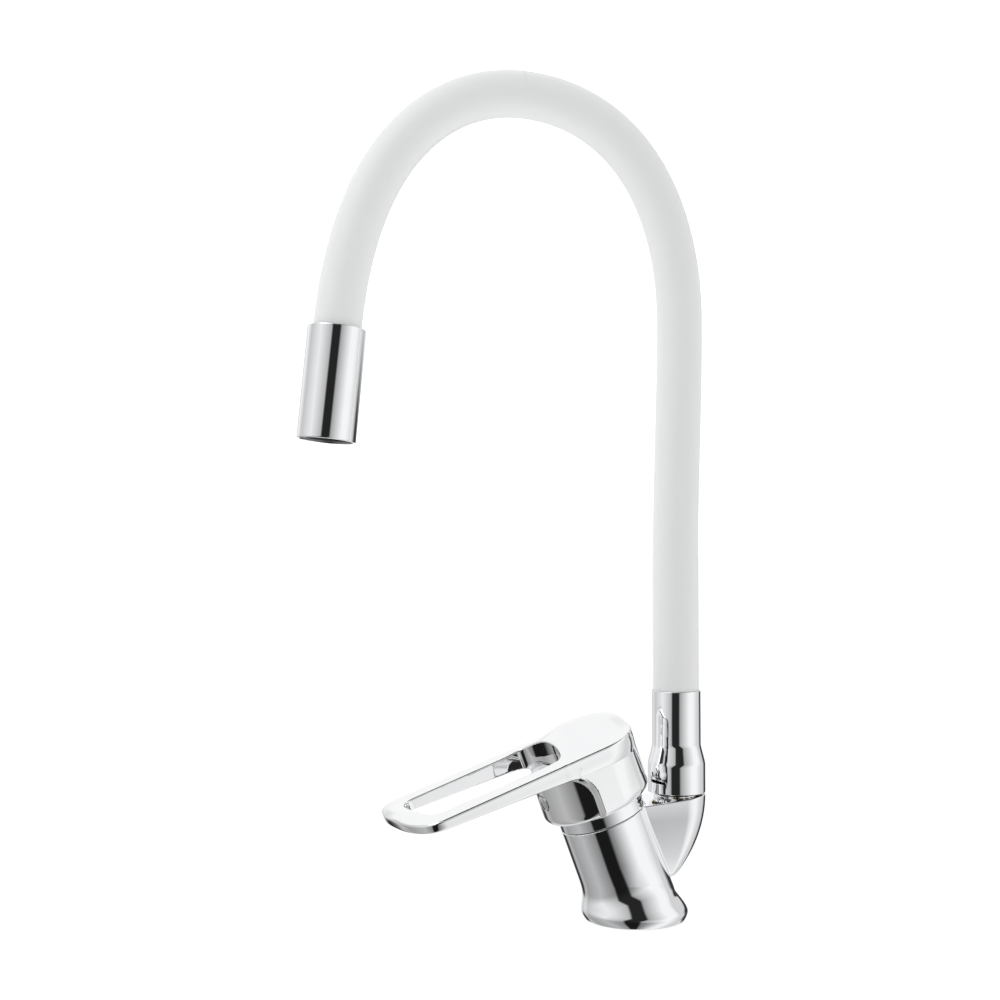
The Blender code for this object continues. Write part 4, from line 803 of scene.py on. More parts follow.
@dataclass(frozen=True)
class Lever:
    """Plated lever: a barrel skirt over the trim ring and a crowned paddle with a finger loop.

    Heights run along the column's axis from the deck, "forward" runs from the axis to the tip.
    """

    half_width: float = 32.4
    back: float = 26.9
    length: float = 106.2
    tip_rounding: float = 14.8
    tip_squareness: float = 2.5
    back_squareness: float = 2.15
    crease: float = 98.85
    rise: float = 1.75
    roll: float = 2.05
    depth_at_cap: float = 10.3
    depth_at_tip: float = 4.6
    thinning_power: float = 0.8
    crown_at_cap: float = 9.6
    crown_on_rails: float = 0.5
    crown_at_tip: float = 2.2
    crown_reach: float = 34.0
    tip_crown_reach: float = 18.0
    least_fullness: float = 0.04
    crease_rounding: float = 1.5
    underside_rounding: float = 1.2
    side_draw: float = 2.2
    even_draw: float = 0.45
    draw_limit: float = 1.3
    side_scale: float = 28.5
    skirt_radius: float = 28.9
    rim_radius: float = 24.6
    rim_middle: float = 63.9
    rim_slant: float = 1.4
    rounding_height: float = 4.8
    straight_top: float = 76.0
    flare_start: float = 70.0
    flare_front: float = 12.0
    flare_rounding: float = 14.0
    flare_step: float = 1.8
    flare_back: float = 12.0
    widest_reach: float = 36.0
    back_flattening: float = 0.8
    skirt_overlap: float = 4.0
    side_fillet: float = 0.2
    front_fillet: float = 5.5
    fillet_start: float = 17.0
    fillet_run: float = 9.0
    cavity_heights: tuple[float, ...] = (65.8, 69.2, 81.0, 88.0)
    cavity_radii: tuple[float, ...] = (24.0, 25.5, 25.5, 19.0)
    hub_radius: float = 9.5
    hub_bottom: float = 72.5
    socket_half: float = 4.3
    socket_top: float = 86.3
    screw_hole: float = 2.7
    screw_run: float = 2.0
    plug_hole: float = 4.1
    plug_hole_floor: float = 20.0
    plug_height: float = 76.0
    loop_back: float = 16.2
    loop_front: float = 95.5
    loop_half_back: float = 21.8
    loop_half_front: float = 20.5
    loop_back_rounding: float = 8.5
    loop_front_rounding: float = 9.0
    loop_back_squareness: float = 2.3
    loop_front_squareness: float = 2.67
    loop_back_scale: float = 16.0
    loop_front_scale: float = 11.0
    loop_edge: float = 0.9
    loop_clearance: float = 1.0
    pocket_floor: float = 91.0
    pocket_fall: float = 0.65
    pocket_start: float = 18.0
    pocket_steepness: float = 0.85
    pocket_rounding: float = 3.0
    pitch: float = 0.6
    box_low: tuple[float, float, float] = (-34.2, -108.0, 59.5)
    box_high: tuple[float, float, float] = (34.2, 28.5, 109.5)

    def edge(self, points: Array) -> tuple[Array, Array, Array]:
        """Edge of the paddle.

        Args:
            points: local points.

        Returns:
            Height of the crease, depth of the side under it, and how far the side has drawn in there: a
            line plus a cubic of the share of that depth, less where the paddle is thin.
        """
        ahead, height = np.maximum(-points[:, 1], 0.0), points[:, 2]
        crease = (self.crease + ahead * np.tan(np.radians(self.rise))
                  - points[:, 0] * np.tan(np.radians(self.roll)))
        along = np.maximum(ahead - self.flare_front, 0.0) / (self.length - self.flare_front)
        depth = self.depth_at_cap + (self.depth_at_tip - self.depth_at_cap) * along ** self.thinning_power
        under = np.clip((crease - height) / depth, 0.0, self.draw_limit)
        draw = self.side_draw * (depth / self.depth_at_cap) ** 2
        return crease, depth, draw * (self.even_draw * under + (1.0 - self.even_draw) * under ** 3)

    def paddle(self, points: Array) -> Array:
        """Crowned paddle.

        In plan it is a super-ellipse at the back and at the tip with straight sides between. The crease
        climbs to the tip by the rise and falls to the near side by the roll. The top stands on it by the
        crown times the square of one less the share across squared, so it leaves the crease level; the
        side draws in below the crease, and the underside lies at a depth that thins towards the tip.

        Args:
            points: local points.

        Returns:
            Field of the paddle.
        """
        across, forward, height = np.abs(points[:, 0]), -points[:, 1], points[:, 2]
        ahead = np.maximum(forward, 0.0)
        tip = np.maximum(forward - (self.length - self.tip_rounding), 0.0) / self.tip_rounding
        rear = np.maximum(-forward, 0.0) / self.back
        power = np.where(forward > 0.0, self.tip_squareness, self.back_squareness)
        ends = np.where(forward > 0.0, tip, rear)
        share = across / self.half_width
        outline = (share ** power + ends ** power) ** (1 / power)
        fullness = np.maximum(1.0 - np.minimum(ends, 1.0) ** power, 0.0) ** (1 / power)
        to_rails = ease(ahead / self.crown_reach)
        crown = self.crown_at_cap + (self.crown_on_rails - self.crown_at_cap) * to_rails
        to_tip = 1.0 - (self.length - ahead) / self.tip_crown_reach
        crown = crown + (self.crown_at_tip - self.crown_on_rails) * ease(to_tip)
        crease, depth, drawn = self.edge(points)
        flank = np.minimum(share / np.maximum(fullness, self.least_fullness), 1.0)
        top = height - crease - crown * fullness * (1.0 - flank * flank) ** 2
        side = (outline - 1.0) * self.side_scale + drawn
        bottom = crease - depth - height
        return trim(trim(top, side, self.crease_rounding), bottom, self.underside_rounding)

    def skirt(self, points: Array) -> Array:
        """Barrel skirt.

        In front its wall is a cylinder. It steps out flush with the paddle's side behind, along an arch
        that joins the paddle's underside, and follows the paddle's squared outline at the back as it
        climbs. Its rim is a quarter ellipse that slants with the distance back.

        Args:
            points: local points.

        Returns:
            Field of the solid skirt.
        """
        across, back, height = np.abs(points[:, 0]), points[:, 1], points[:, 2]
        away = np.maximum(np.hypot(across, back), TINY)
        power = self.back_squareness
        crease, depth, drawn = self.edge(points)
        side = self.half_width * (1.0 - np.minimum(drawn, self.side_draw) / self.side_scale)
        cap = (across / away / side) ** power + (np.abs(back) / away / self.back) ** power
        cap = cap ** (-1 / power)
        top = self.crease - self.depth_at_cap / 2
        rising = np.clip((height - self.straight_top) / (top - self.straight_top), 0.0, 1.0)
        flattening = self.back_flattening + (1.0 - self.back_flattening) * rising
        behind = fillet(-self.flare_front - back, crease - depth - height, self.flare_rounding)
        climb = ease((height - self.flare_start) / (top - self.flare_start))
        flare = ease(0.5 - behind / self.flare_step)
        flare = flare * (1.0 + (climb - 1.0) * ease(back / self.flare_back))
        flush = np.minimum(side * away / np.maximum(across, TINY), self.widest_reach)
        extra = np.where(back > 0.0, cap, flush) - self.skirt_radius
        reach = self.skirt_radius + extra * np.where(extra < 0.0, flattening, flare)
        level = height - self.rim_slant * back / self.skirt_radius
        outwards = np.maximum(away - self.rim_radius, 0.0) / (reach - self.rim_radius)
        down = np.maximum(self.rim_middle + self.rounding_height - level, 0.0) / self.rounding_height
        wall = (np.hypot(outwards, down) - 1.0) * (reach - self.rim_radius)
        return np.maximum(wall, height - self.crease + self.skirt_overlap)

    def hollow(self, points: Array) -> Array:
        """Cavity under the cap, less the hub, with the holes for the stem, the screw and the plug."""
        across, back, height = points.T
        away = np.hypot(across, back)
        cavity = np.maximum(away - np.interp(height, self.cavity_heights, self.cavity_radii),
                            height - self.cavity_heights[-1])
        hub = np.maximum(away - self.hub_radius, self.hub_bottom - height)
        square = np.maximum(np.abs(across), np.abs(back)) - self.socket_half
        socket = np.maximum(square, height - self.socket_top)
        around = np.hypot(across, height - self.plug_height)
        screw = np.maximum(around - self.screw_hole, back)
        screw = np.maximum(screw, -back - self.hub_radius - self.screw_run)
        plug = np.maximum(around - self.plug_hole, back + self.plug_hole_floor)
        return np.minimum.reduce([np.maximum(cavity, -hub), socket, screw, plug])

    def loop(self, points: Array) -> Array:
        """Finger loop: a rounded slot through the paddle, and a pocket over the skirt."""
        across, forward, height = np.abs(points[:, 0]), -points[:, 1], points[:, 2]
        back_end = self.loop_back + self.loop_back_rounding
        front_end = self.loop_front - self.loop_front_rounding
        width = np.interp(forward, (back_end, front_end), (self.loop_half_back, self.loop_half_front))
        ends = np.maximum(np.maximum(back_end - forward, 0.0) / self.loop_back_rounding,
                          np.maximum(forward - front_end, 0.0) / self.loop_front_rounding)
        power = np.where(forward < (back_end + front_end) / 2,
                         self.loop_back_squareness, self.loop_front_squareness)
        outline = ((across / width) ** power + ends ** power) ** (1 / power) - 1.0
        slot = outline * np.where(forward < front_end, self.loop_back_scale, self.loop_front_scale)
        floor = self.pocket_floor - self.pocket_fall * np.maximum(forward - self.pocket_start, 0.0)
        pocket = trim(slot, (floor - height) * self.pocket_steepness, self.pocket_rounding)
        through = np.maximum(slot, self.skirt_radius + self.loop_clearance - forward)
        return np.minimum(pocket, through)

    def shape(self, points: Array) -> Array:
        """Field of the whole lever; the fillet under the paddle is wide in front and narrow at the sides."""
        ahead = ease((-points[:, 1] - self.fillet_start) / self.fillet_run)
        reach = self.side_fillet + (self.front_fillet - self.side_fillet) * ahead
        outer = fillet(self.paddle(points), self.skirt(points), reach)
        open_loop = trim(outer, -self.loop(points), self.loop_edge)
        return np.maximum(open_loop, -self.hollow(points))

    def build(self) -> None:
        """Build the lever and dress it."""
        shell = level_surface(self.shape, self.box_low, self.box_high, self.pitch)
        made = make_piece("plated_lever", shell, LEVER_CHROME, Body.LEVER, LEVER_PLACE)
        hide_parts("lever_handle")


@dataclass(frozen=True)
class IndexPlug:
    """Small domed plug over the set screw."""

    radius: float = 3.8
    dome: float = 0.6
    thickness: float = 2.4
    edge: float = 0.25
    reach: float = 28.9
    height: float = 76.0
    dome_points: int = 9
    dome_rounding: float = 6.0
    arc_steps: int = 3
    turn_steps: int = 48

    def build(self) -> None:
        """Turn the plug, its dome a parabola, lay its axis forward and dress it."""
        dome = [(self.radius * share, self.dome * (1.0 - share * share), self.dome_rounding)
                for share in np.linspace(0.0, 1.0, self.dome_points)[:-1]]
        corners = dome + [(self.radius, 0.0, self.edge), (self.radius, -self.thickness, BROKEN_EDGE),
                          (0.0, -self.thickness, 0.0)]
        shell = turned(rounded_outline(corners, False, self.arc_steps), self.turn_steps)
        forward = np.array([[1.0, 0.0, 0.0], [0.0, 0.0, 1.0], [0.0, -1.0, 0.0]])
        shell.points = shell.points @ forward + np.array([0.0, -self.reach, self.height])
        shell.normals = shell.normals @ forward
        made = make_piece("polished_index_plug", shell, PLUG_STEEL, Body.LEVER, LEVER_PLACE)
        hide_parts("index_plug")


@dataclass(frozen=True)
class Ferrule:
    """Plated ferrule: a wide foot, a cone and a sleeve that grips the hose."""

    bottom: float = 63.7
    lower_radius: float = 15.1
    cone_start: float = 79.0
    cone_end: float = 88.0
    upper_radius: float = 12.8
    top: float = 116.6
    hose_hole: float = 12.3
    wall: float = 1.8
    lip: float = 0.1
    top_edge: float = 0.3
    bottom_edge: float = 0.4
    cone_rounding: float = 9.0
    inner_rounding: float = 2.0
    arc_steps: int = 8

    def build(self) -> None:
        """Turn the ferrule and dress it."""
        inner = self.lower_radius - self.wall
        corners = [(self.hose_hole, self.top, self.lip), (self.upper_radius, self.top, self.top_edge),
                   (self.upper_radius, self.cone_end, self.cone_rounding),
                   (self.lower_radius, self.cone_start, self.cone_rounding),
                   (self.lower_radius, self.bottom, self.bottom_edge), (inner, self.bottom, BROKEN_EDGE),
                   (inner, self.cone_start, self.inner_rounding),
                   (self.hose_hole, self.cone_end, self.inner_rounding)]
        shell = turned(rounded_outline(corners, True, self.arc_steps), TURN_STEPS, True)
        made = make_piece("plated_spout_ferrule", shell, CHROME, Body.SPOUT, RISER)
        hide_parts("spout_ferrule")


@dataclass(frozen=True)
class OutletHead:
    """Plated tube at the end of the hose, with the aerator's ring and screen in its mouth."""

    radius: float = 14.65
    length: float = 56.0
    socket_depth: float = 12.0
    hose_hole: float = 12.3
    bore_radius: float = 13.2
    ring_radius: float = 12.9
    ring_wall: float = 1.4
    ring_length: float = 15.0
    recess: float = 0.8
    lip: float = 1.4
    screen_radius: float = 11.2
    screen_thickness: float = 1.6
    screen_gap: float = 0.3
    screen_ribs: int = 4
    screen_points: int = 65
    rib_half_height: float = 0.35
    tube_roundings: tuple[float, ...] = (0.1, 0.6, 0.6, 0.3, BROKEN_EDGE, BROKEN_EDGE)
    ring_roundings: tuple[float, ...] = (BROKEN_EDGE, 0.3, 0.4, 0.5, BROKEN_EDGE, BROKEN_EDGE)
    tube_arc_steps: int = 6
    ring_arc_steps: int = 4
    mouth_steps: int = 96

    def tube(self) -> Shell:
        """Outer tube with its hose socket."""
        places = ((self.hose_hole, 0.0), (self.radius, 0.0), (self.radius, -self.length),
                  (self.bore_radius, -self.length), (self.bore_radius, -self.socket_depth),
                  (self.hose_hole, -self.socket_depth))
        corners = [(*place, rounding) for place, rounding in zip(places, self.tube_roundings)]
        return turned(rounded_outline(corners, True, self.tube_arc_steps), TURN_STEPS, True)

    def ring(self) -> Shell:
        """Aerator's ring with its holding lip."""
        bottom = self.recess - self.length
        top = bottom + self.ring_length
        inner = self.ring_radius - self.ring_wall
        lip = inner - self.lip
        places = ((inner, top), (self.ring_radius, top), (self.ring_radius, bottom), (lip, bottom),
                  (lip, bottom + self.lip), (inner, bottom + self.lip))
        corners = [(*place, rounding) for place, rounding in zip(places, self.ring_roundings)]
        return turned(rounded_outline(corners, True, self.ring_arc_steps), self.mouth_steps, True)

    def screen(self) -> Shell:
        """Outlet screen: concentric ribs on a thin plate, its underside a raised cosine along the radius."""
        bottom = self.recess + self.lip + self.screen_gap - self.length
        radius = np.linspace(self.screen_radius, 0.0, self.screen_points)
        wave = np.cos(2 * np.pi * self.screen_ribs * radius / self.screen_radius)
        ribs = self.rib_half_height * (1.0 - wave)
        lower = np.stack([radius, bottom + ribs], axis=-1)
        top = bottom + self.screen_thickness
        upper = np.array([[0.0, top], [self.screen_radius, top]])
        points = np.vstack([upper, lower])
        slope = np.gradient(ribs, radius)
        under = np.stack([slope, -np.ones_like(slope)], axis=-1)
        under /= np.linalg.norm(under, axis=1, keepdims=True)
        normals = np.vstack([[[0.0, 1.0], [0.0, 1.0]], under])
        return turned((points, normals), self.mouth_steps)

    def build(self) -> None:
        """Build the head's three pieces and dress them."""
        tube = make_piece("plated_outlet_head", self.tube(), CHROME, Body.OUTLET, HEAD)
        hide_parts("outlet_head")
        ring = make_piece("aerator_ring", self.ring(), BLACK_NYLON, Body.OUTLET, HEAD)
        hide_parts("aerator_housing")
        screen = make_piece("aerator_screen", self.screen(), GREY_NYLON, Body.OUTLET, HEAD)
        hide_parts("aerator_grille")


@dataclass(frozen=True)
class FlexibleHose:
    """Shape-holding hose: a silicone sleeve over a steel gooseneck over the inner hose.

    Its centre line lies in the plane x = 0: a straight riser, a slight drift, then an arch of two cubics
    that meet level at the crown, and a short end that goes down into the outlet head.
    """

    start: float = 91.5
    straight_top: float = 180.0
    arch_start: float = 312.0
    drift: float = 2.9
    crown: tuple[float, float] = (-62.2, 425.7)
    back_handle: float = 68.0
    top_back_handle: float = 55.8
    top_front_handle: float = 37.0
    front_handle: float = 98.0
    end_depth: float = 11.7
    back_bend: tuple[float, float] = (247.0, 281.0)
    front_bend: tuple[float, float] = (495.0, 529.0)
    sleeve_radii: tuple[float, float] = (12.0, 9.4)
    coil_radii: tuple[float, float] = (8.9, 6.5)
    inner_radii: tuple[float, float] = (6.1, 4.6)
    coil_pitch: float = 4.2
    coil_depth: float = 0.25
    step: float = 1.6
    coil_step: float = 0.8
    inner_step: float = 3.2
    sleeve_around: int = 72
    core_around: int = 24
    samples: int = 400

    def cubic(self, knots: Sequence[Sequence[float]]) -> Array:
        """Cubic stretch: the four knots weighted by the Bernstein powers of the share along."""
        share = np.linspace(0.0, 1.0, self.samples)[:, None]
        rest = 1.0 - share
        first, second, third, last = (np.array(knot) for knot in knots)
        return (rest ** 3 * first + 3 * rest ** 2 * share * second + 3 * rest * share ** 2 * third
                + share ** 3 * last)

    def route(self) -> Array:
        """Centre line as (back, up) points from the ferrule to the head."""
        setback = RISER.origin[1]
        _, front, up = HEAD.origin
        lean = np.radians(-HEAD.tilt)
        down = np.array([-np.sin(lean), -np.cos(lean)])
        outlet = np.array([front, up])
        third = (self.arch_start - self.straight_top) / 3
        arch = setback + self.drift
        level, top = self.crown
        return np.vstack([
            [[setback, self.start]],
            self.cubic([(setback, self.straight_top), (setback, self.straight_top + third),
                        (arch, self.arch_start - third), (arch, self.arch_start)]),
            self.cubic([(arch, self.arch_start), (arch, self.arch_start + self.back_handle),
                        (level + self.top_back_handle, top), self.crown])[1:],
            self.cubic([self.crown, (level - self.top_front_handle, top), outlet - down * self.front_handle,
                        outlet])[1:],
            [outlet + down * self.end_depth]])

    def lengths(self, route: Array) -> Array:
        """Length along the route up to each of its points."""
        return np.concatenate([[0.0], np.cumsum(np.linalg.norm(np.diff(route, axis=0), axis=1))])

    def tube(self, places: Array, radii: tuple[float, float], coil: bool, around: int) -> Shell:
        """Bored tube along the route.

        Point (u, v) is the centre line at u plus the radius times (cos v across, sin v along the line's
        own normal). The rows run down the outside and back up the bore, and close. A coil's radius waves
        with u and v together, as a helix does.

        Args:
            places: lengths along the route, rising.
            radii: outer and inner radius.
            coil: whether the outside is wound.
            around: points round the tube.

        Returns:
            Closed surface.
        """
        route = self.route()
        lengths = self.lengths(route)
        centre = np.stack([np.interp(places, lengths, route[:, axis]) for axis in (0, 1)], axis=-1)
        tangent = np.gradient(centre, places, axis=0)
        tangent /= np.linalg.norm(tangent, axis=1, keepdims=True)
        angle = np.linspace(0.0, 2.0 * np.pi, around, endpoint=False)

        def wall(radius: Array) -> Array:
            """One side of the wall, as rows of points round the line."""
            normal = np.stack([-tangent[:, 1], tangent[:, 0]], axis=-1)
            in_plane = centre[:, None, :] + normal[:, None, :] * (radius * np.sin(angle))[..., None]
            across = (radius * np.cos(angle))[..., None]
            return np.concatenate([across, in_plane], axis=-1)

        outer = np.full((len(places), around), radii[0])
        if coil:
            turn = 2.0 * np.pi * places[:, None] / self.coil_pitch + angle
            outer = outer - self.coil_depth * (1.0 - np.cos(turn))
        inner = np.full((len(places), around), radii[1])
        rows = np.concatenate([wall(outer), wall(inner)[::-1]])
        faces = grid_faces(len(rows), around, True)
        return Shell(rows.reshape(-1, 3), faces[:, ::-1])

    def build(self) -> None:
        """Build both halves of each layer and dress them."""
        route = self.route()
        lengths = self.lengths(route)
        total = lengths[-1]
        middle = float(np.interp(self.crown[0], route[::-1, 0], lengths[::-1]))
        halves = (("lower", 0.0, middle, self.back_bend, Body.SPOUT, Body.CROWN,
                   ("riser", "bend_back")),
                  ("upper", middle, total, self.front_bend, Body.CROWN, Body.OUTLET,
                   ("crown", "bend_front", "drop")))
        layers = (("sleeve", self.sleeve_radii, SILICONE, False, self.sleeve_around, self.step),
                  ("gooseneck", self.coil_radii, STEEL, True, self.core_around, self.coil_step),
                  ("inner_hose", self.inner_radii, HOSE_RUBBER, False, self.core_around, self.inner_step))
        for label, start, end, bend, first, second, stretches in halves:
            for layer, radii, finish, coil, around, step in layers:
                places = np.linspace(start, end, max(int((end - start) / step), 2))
                shell = self.tube(places, radii, coil, around)
                made = make_piece(f"{layer}_{label}_half", shell, finish, first)
                made.parent = None
                del made["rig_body"]
                mark_square_ends(made, around)
                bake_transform(made)
                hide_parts(*(f"{layer}_{stretch}" for stretch in stretches))


def mark_square_ends(piece: bpy.types.Object, around: int) -> None:
    """Keep the edges of a tube's ends sharp, where its wall turns back into the bore.

    Args:
        piece: tube from FlexibleHose.tube.
        around: points round the tube.
    """
    mesh = piece.data
    count = len(mesh.vertices) // around
    sharp_rows = np.array([0, count // 2 - 1, count // 2, count - 1])
    pairs = np.empty(len(mesh.edges) * 2, int)
    mesh.edges.foreach_get("vertices", pairs)
    rows = pairs.reshape(-1, 2) // around
    mark = (rows[:, 0] == rows[:, 1]) & np.isin(rows[:, 0], sharp_rows)
    attribute = mesh.attributes.get("sharp_edge") or mesh.attributes.new("sharp_edge", "BOOLEAN", "EDGE")
    attribute.data.foreach_set("value", mark)


@dataclass(frozen=True)
class Studio:
    """Plain white studio at the photograph's viewing angle."""

    camera_place: tuple[float, float, float] = (0.68554, -0.28828, 0.19082)
    camera_turn: tuple[float, float, float] = (92.0, 0.0, 72.57)
    lens: float = 50.82
    sensor: float = 36.0
    floor_size: float = 80.0
    floor_colour: str = "#F4F4F3"
    floor_share: float = 0.88
    floor_glow: float = 1.05
    surround_level: float = 1.42
    lamp_power: float = 2.4
    lamp_size: float = 0.7
    lamp_place: tuple[float, float, float] = (0.25, -0.75, 1.05)
    lamp_aim: tuple[float, float, float] = (0.0, -0.05, 0.2)
    # The room turns by the last angle between the first two elevations, so its bands lean.
    room_lean: tuple[float, float, float] = (-7.0, 12.0, 17.0)
    # The unlit room: a dark flag at the camera's right, a grey wall at its left and a dim strip behind.
    room_dark: Band = (
        ((-180.0, 0.3), (-160.0, 0.3), (-135.0, 0.0), (-80.0, 0.0), (-50.0, 0.4), (0.0, 0.1), (42.0, 0.5),
         (48.0, 0.98), (78.0, 0.98), (84.0, 0.6), (130.0, 0.0), (150.0, 0.0), (180.0, 0.3)),
        ((-90.0, 0.0), (-75.0, 1.0), (40.0, 1.0), (50.0, 0.0)))
    # The same room as it dims what matt pieces get.
    diffuse_dark: Band = (
        ((-180.0, 0.0), (-10.0, 0.0), (45.0, 0.6), (100.0, 0.6), (145.0, 0.0), (180.0, 0.0)),
        ((-90.0, 0.0), (-40.0, 1.0), (50.0, 1.0), (80.0, 0.0)))
    # Dark cards that only polished metal mirrors: at right edges, at left edges, the floor's shade, a high
    # card that the upper sides mirror, and one overhead.
    mirrored_dark: tuple[Band, ...] = (
        (((-165.0, 0.0), (-150.0, 0.95), (-120.0, 0.95), (-113.0, 0.0)),
         ((-32.0, 0.0), (-26.0, 1.0), (2.0, 1.0), (6.0, 0.0))),
        (((-95.0, 0.0), (-90.0, 0.95), (-75.0, 0.95), (-65.0, 0.0)),
         ((-36.0, 0.0), (-30.0, 1.0), (-20.0, 1.0), (-15.0, 0.3), (10.0, 0.3), (20.0, 0.0))),
        (((-180.0, 0.0), (-50.0, 0.4), (90.0, 0.5), (150.0, 0.0)), ((-24.0, 1.0), (-8.0, 0.0))),
        (((-175.0, 0.96), (-170.0, 0.0), (85.0, 0.0), (95.0, 0.96)), ((46.0, 0.0), (52.0, 1.0))),
        (((-180.0, 0.96), (180.0, 0.96)), ((70.0, 0.0), (73.0, 1.0))))

    def build_camera(self) -> None:
        """Set the camera at the photograph's place."""
        data = bpy.data.cameras.new("photograph_camera")
        data.lens = self.lens
        data.sensor_width = self.sensor
        made = bpy.data.objects.new("photograph_camera", data)
        made.location = self.camera_place
        made.rotation_euler = tuple(np.radians(self.camera_turn))
        bpy.context.scene.collection.objects.link(made)
        bpy.context.scene.camera = made

    def dark_band(self, tree: bpy.types.NodeTree, azimuth: bpy.types.NodeSocket,
                  height: bpy.types.NodeSocket, band: Band) -> bpy.types.NodeSocket:
        """Dark part of the surround, such as the unlit room round the camera.

        Args:
            tree: node tree of the world.
            azimuth: direction round the object, from 0 to 1 over the full turn.
            height: direction above the horizon, from 0 to 1 over the half turn.
            band: pairs of azimuth in degrees and darkness, then pairs of elevation and share of the darkness.

        Returns:
            Socket with the light that is left.
        """
        ramps = []
        for direction, stops, turn in ((azimuth, band[0], FULL_TURN), (height, band[1], HALF_TURN)):
            ramps.append(add_node(tree, "ShaderNodeValToRGB", {}, {0: direction}))
            set_ramp(ramps[-1], [(place / turn + 0.5, level) for place, level in stops])
        dark = add_node(tree, "ShaderNodeMath", {"operation": "MULTIPLY"},
                        {0: ramps[0].outputs[0], 1: ramps[1].outputs[0]})
        left = add_node(tree, "ShaderNodeMath", {"operation": "SUBTRACT", 0: 1.0}, {1: dark.outputs[0]})
        return left.outputs[0]

    def build_surround(self) -> None:
        """White surround: plain white to the camera, with the unlit room in what polished metal mirrors."""
        world = bpy.data.worlds.new("white_surround")
        world.use_nodes = True
        bpy.context.scene.world = world
        tree = world.node_tree
        tree.nodes.clear()
        place = add_node(tree, "ShaderNodeTexCoord")
        parts = add_node(tree, "ShaderNodeSeparateXYZ", {}, {0: place.outputs["Generated"]})
        forward = add_node(tree, "ShaderNodeMath", {"operation": "MULTIPLY", 1: -1.0},
                           {0: parts.outputs["Y"]})
        angle = add_node(tree, "ShaderNodeMath", {"operation": "ARCTAN2"},
                         {0: parts.outputs["X"], 1: forward.outputs[0]})
        azimuth = add_node(tree, "ShaderNodeMath", {"operation": "MULTIPLY_ADD", 1: 0.5 / np.pi, 2: 0.5},
                           {0: angle.outputs[0]})
        rise = add_node(tree, "ShaderNodeMath", {"operation": "ARCSINE"}, {0: parts.outputs["Z"]})
        height = add_node(tree, "ShaderNodeMath", {"operation": "MULTIPLY_ADD", 1: 1.0 / np.pi, 2: 0.5},
                          {0: rise.outputs[0]})
        low, high, shift = self.room_lean
        lean = add_node(tree, "ShaderNodeMapRange",
                        {"From Min": low / HALF_TURN + 0.5, "From Max": high / HALF_TURN + 0.5,
                         "To Min": 0.0, "To Max": shift / FULL_TURN}, {"Value": height.outputs[0]})
        leaned = add_node(tree, "ShaderNodeMath", {"operation": "SUBTRACT"},
                          {0: azimuth.outputs[0], 1: lean.outputs[0]})
        room = self.dark_band(tree, leaned.outputs[0], height.outputs[0], self.room_dark)
        mirrored_light = room
        for band in self.mirrored_dark:
            rest = self.dark_band(tree, azimuth.outputs[0], height.outputs[0], band)
            mirrored_light = add_node(tree, "ShaderNodeMath", {"operation": "MULTIPLY"},
                                      {0: mirrored_light, 1: rest}).outputs[0]
        path = add_node(tree, "ShaderNodeLightPath")
        shade = self.dark_band(tree, azimuth.outputs[0], height.outputs[0], self.diffuse_dark)
        shaded = add_node(tree, "ShaderNodeMath", {"operation": "MULTIPLY"}, {0: room, 1: shade})
        lit = add_node(tree, "ShaderNodeMath", {"operation": "MULTIPLY", 1: self.surround_level},
                       {0: shaded.outputs[0]})
        seen = add_node(tree, "ShaderNodeMix", {"data_type": "FLOAT"},
                        {0: path.outputs["Is Glossy Ray"], 2: lit.outputs[0], 3: mirrored_light})
        shown = add_node(tree, "ShaderNodeMath", {"operation": "MAXIMUM"},
                         {0: path.outputs["Is Camera Ray"], 1: seen.outputs[0]})
        light = add_node(tree, "ShaderNodeBackground", {"Color": WHITE}, {"Strength": shown.outputs[0]})
        add_node(tree, "ShaderNodeOutputWorld", {}, {"Surface": light.outputs[0]})

    def build_floor(self) -> None:
        """Pale floor that takes the shadow and is white to the camera."""
        half = self.floor_size / 2
        mesh = bpy.data.meshes.new("studio_floor")
        corners = [(-half, -half, 0.0), (half, -half, 0.0), (half, half, 0.0), (-half, half, 0.0)]
        mesh.from_pydata(corners, [], [(0, 1, 2, 3)])
        made = bpy.data.objects.new("studio_floor", mesh)
        bpy.context.scene.collection.objects.link(made)
        material = bpy.data.materials.new("white_paper_floor")
        material.use_nodes = True
        tree = material.node_tree
        tree.nodes.clear()
        paper = add_node(tree, "ShaderNodeBsdfDiffuse", {"Color": linear(self.floor_colour)})
        glow = add_node(tree, "ShaderNodeEmission", {"Color": WHITE, "Strength": self.floor_glow})
        path = add_node(tree, "ShaderNodeLightPath")
        share = add_node(tree, "ShaderNodeMath", {"operation": "MULTIPLY", 1: self.floor_share},
                         {0: path.outputs["Is Camera Ray"]})
        both = add_node(tree, "ShaderNodeMixShader", {},
                        {0: share.outputs[0], 1: paper.outputs[0], 2: glow.outputs[0]})
        add_node(tree, "ShaderNodeOutputMaterial", {}, {"Surface": both.outputs[0]})
        mesh.materials.append(material)
        made.visible_glossy = False

    def build_lamp(self) -> None:
        """Soft lamp over the left shoulder of the camera."""
        data = bpy.data.lights.new("soft_lamp", "AREA")
        data.size = self.lamp_size
        data.energy = self.lamp_power
        made = bpy.data.objects.new("soft_lamp", data)
        made.location = self.lamp_place
        aim = np.array(self.lamp_aim) - np.array(self.lamp_place)
        distance = np.linalg.norm(aim)
        tilt = np.arccos(-aim[2] / distance)
        made.rotation_euler = (tilt, 0.0, float(np.arctan2(-aim[0], aim[1])))
        bpy.context.scene.collection.objects.link(made)

    def build(self) -> None:
        """Build the whole studio."""
        bpy.context.scene.view_settings.view_transform = "Standard"
        self.build_camera()
        self.build_surround()
        self.build_floor()
        self.build_lamp()


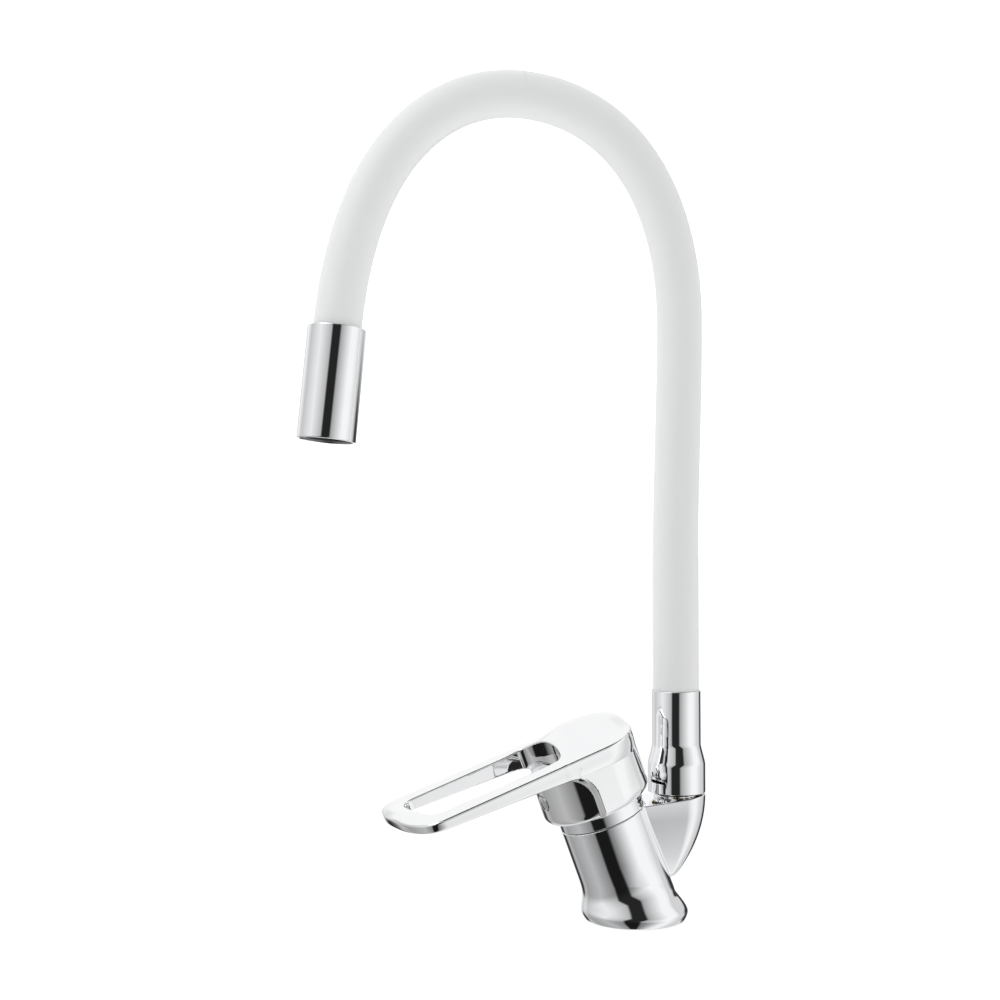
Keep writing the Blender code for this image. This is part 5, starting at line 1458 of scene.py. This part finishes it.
def dress_carried_nodes() -> None:
    """Give every CAD node that stays in view its finish."""
    for finish, names in CARRIED_NODES.items():
        for name in names:
            node = frame["nodes"][name]
            node.data.materials.clear()
            node.data.materials.append(material_of(finish))
            LOG.info("%s: %s", name, finish.name)


def main() -> None:
    """Build the studio and every sub-assembly in order."""
    logging.basicConfig(level=logging.INFO, format="%(message)s")
    Studio().build()
    dress_carried_nodes()
    for assembly in (MixerBody(), TrimRing(), Lever(), IndexPlug(), Ferrule(), FlexibleHose(), OutletHead()):
        assembly.build()


if __name__ == "__main__":
    main()
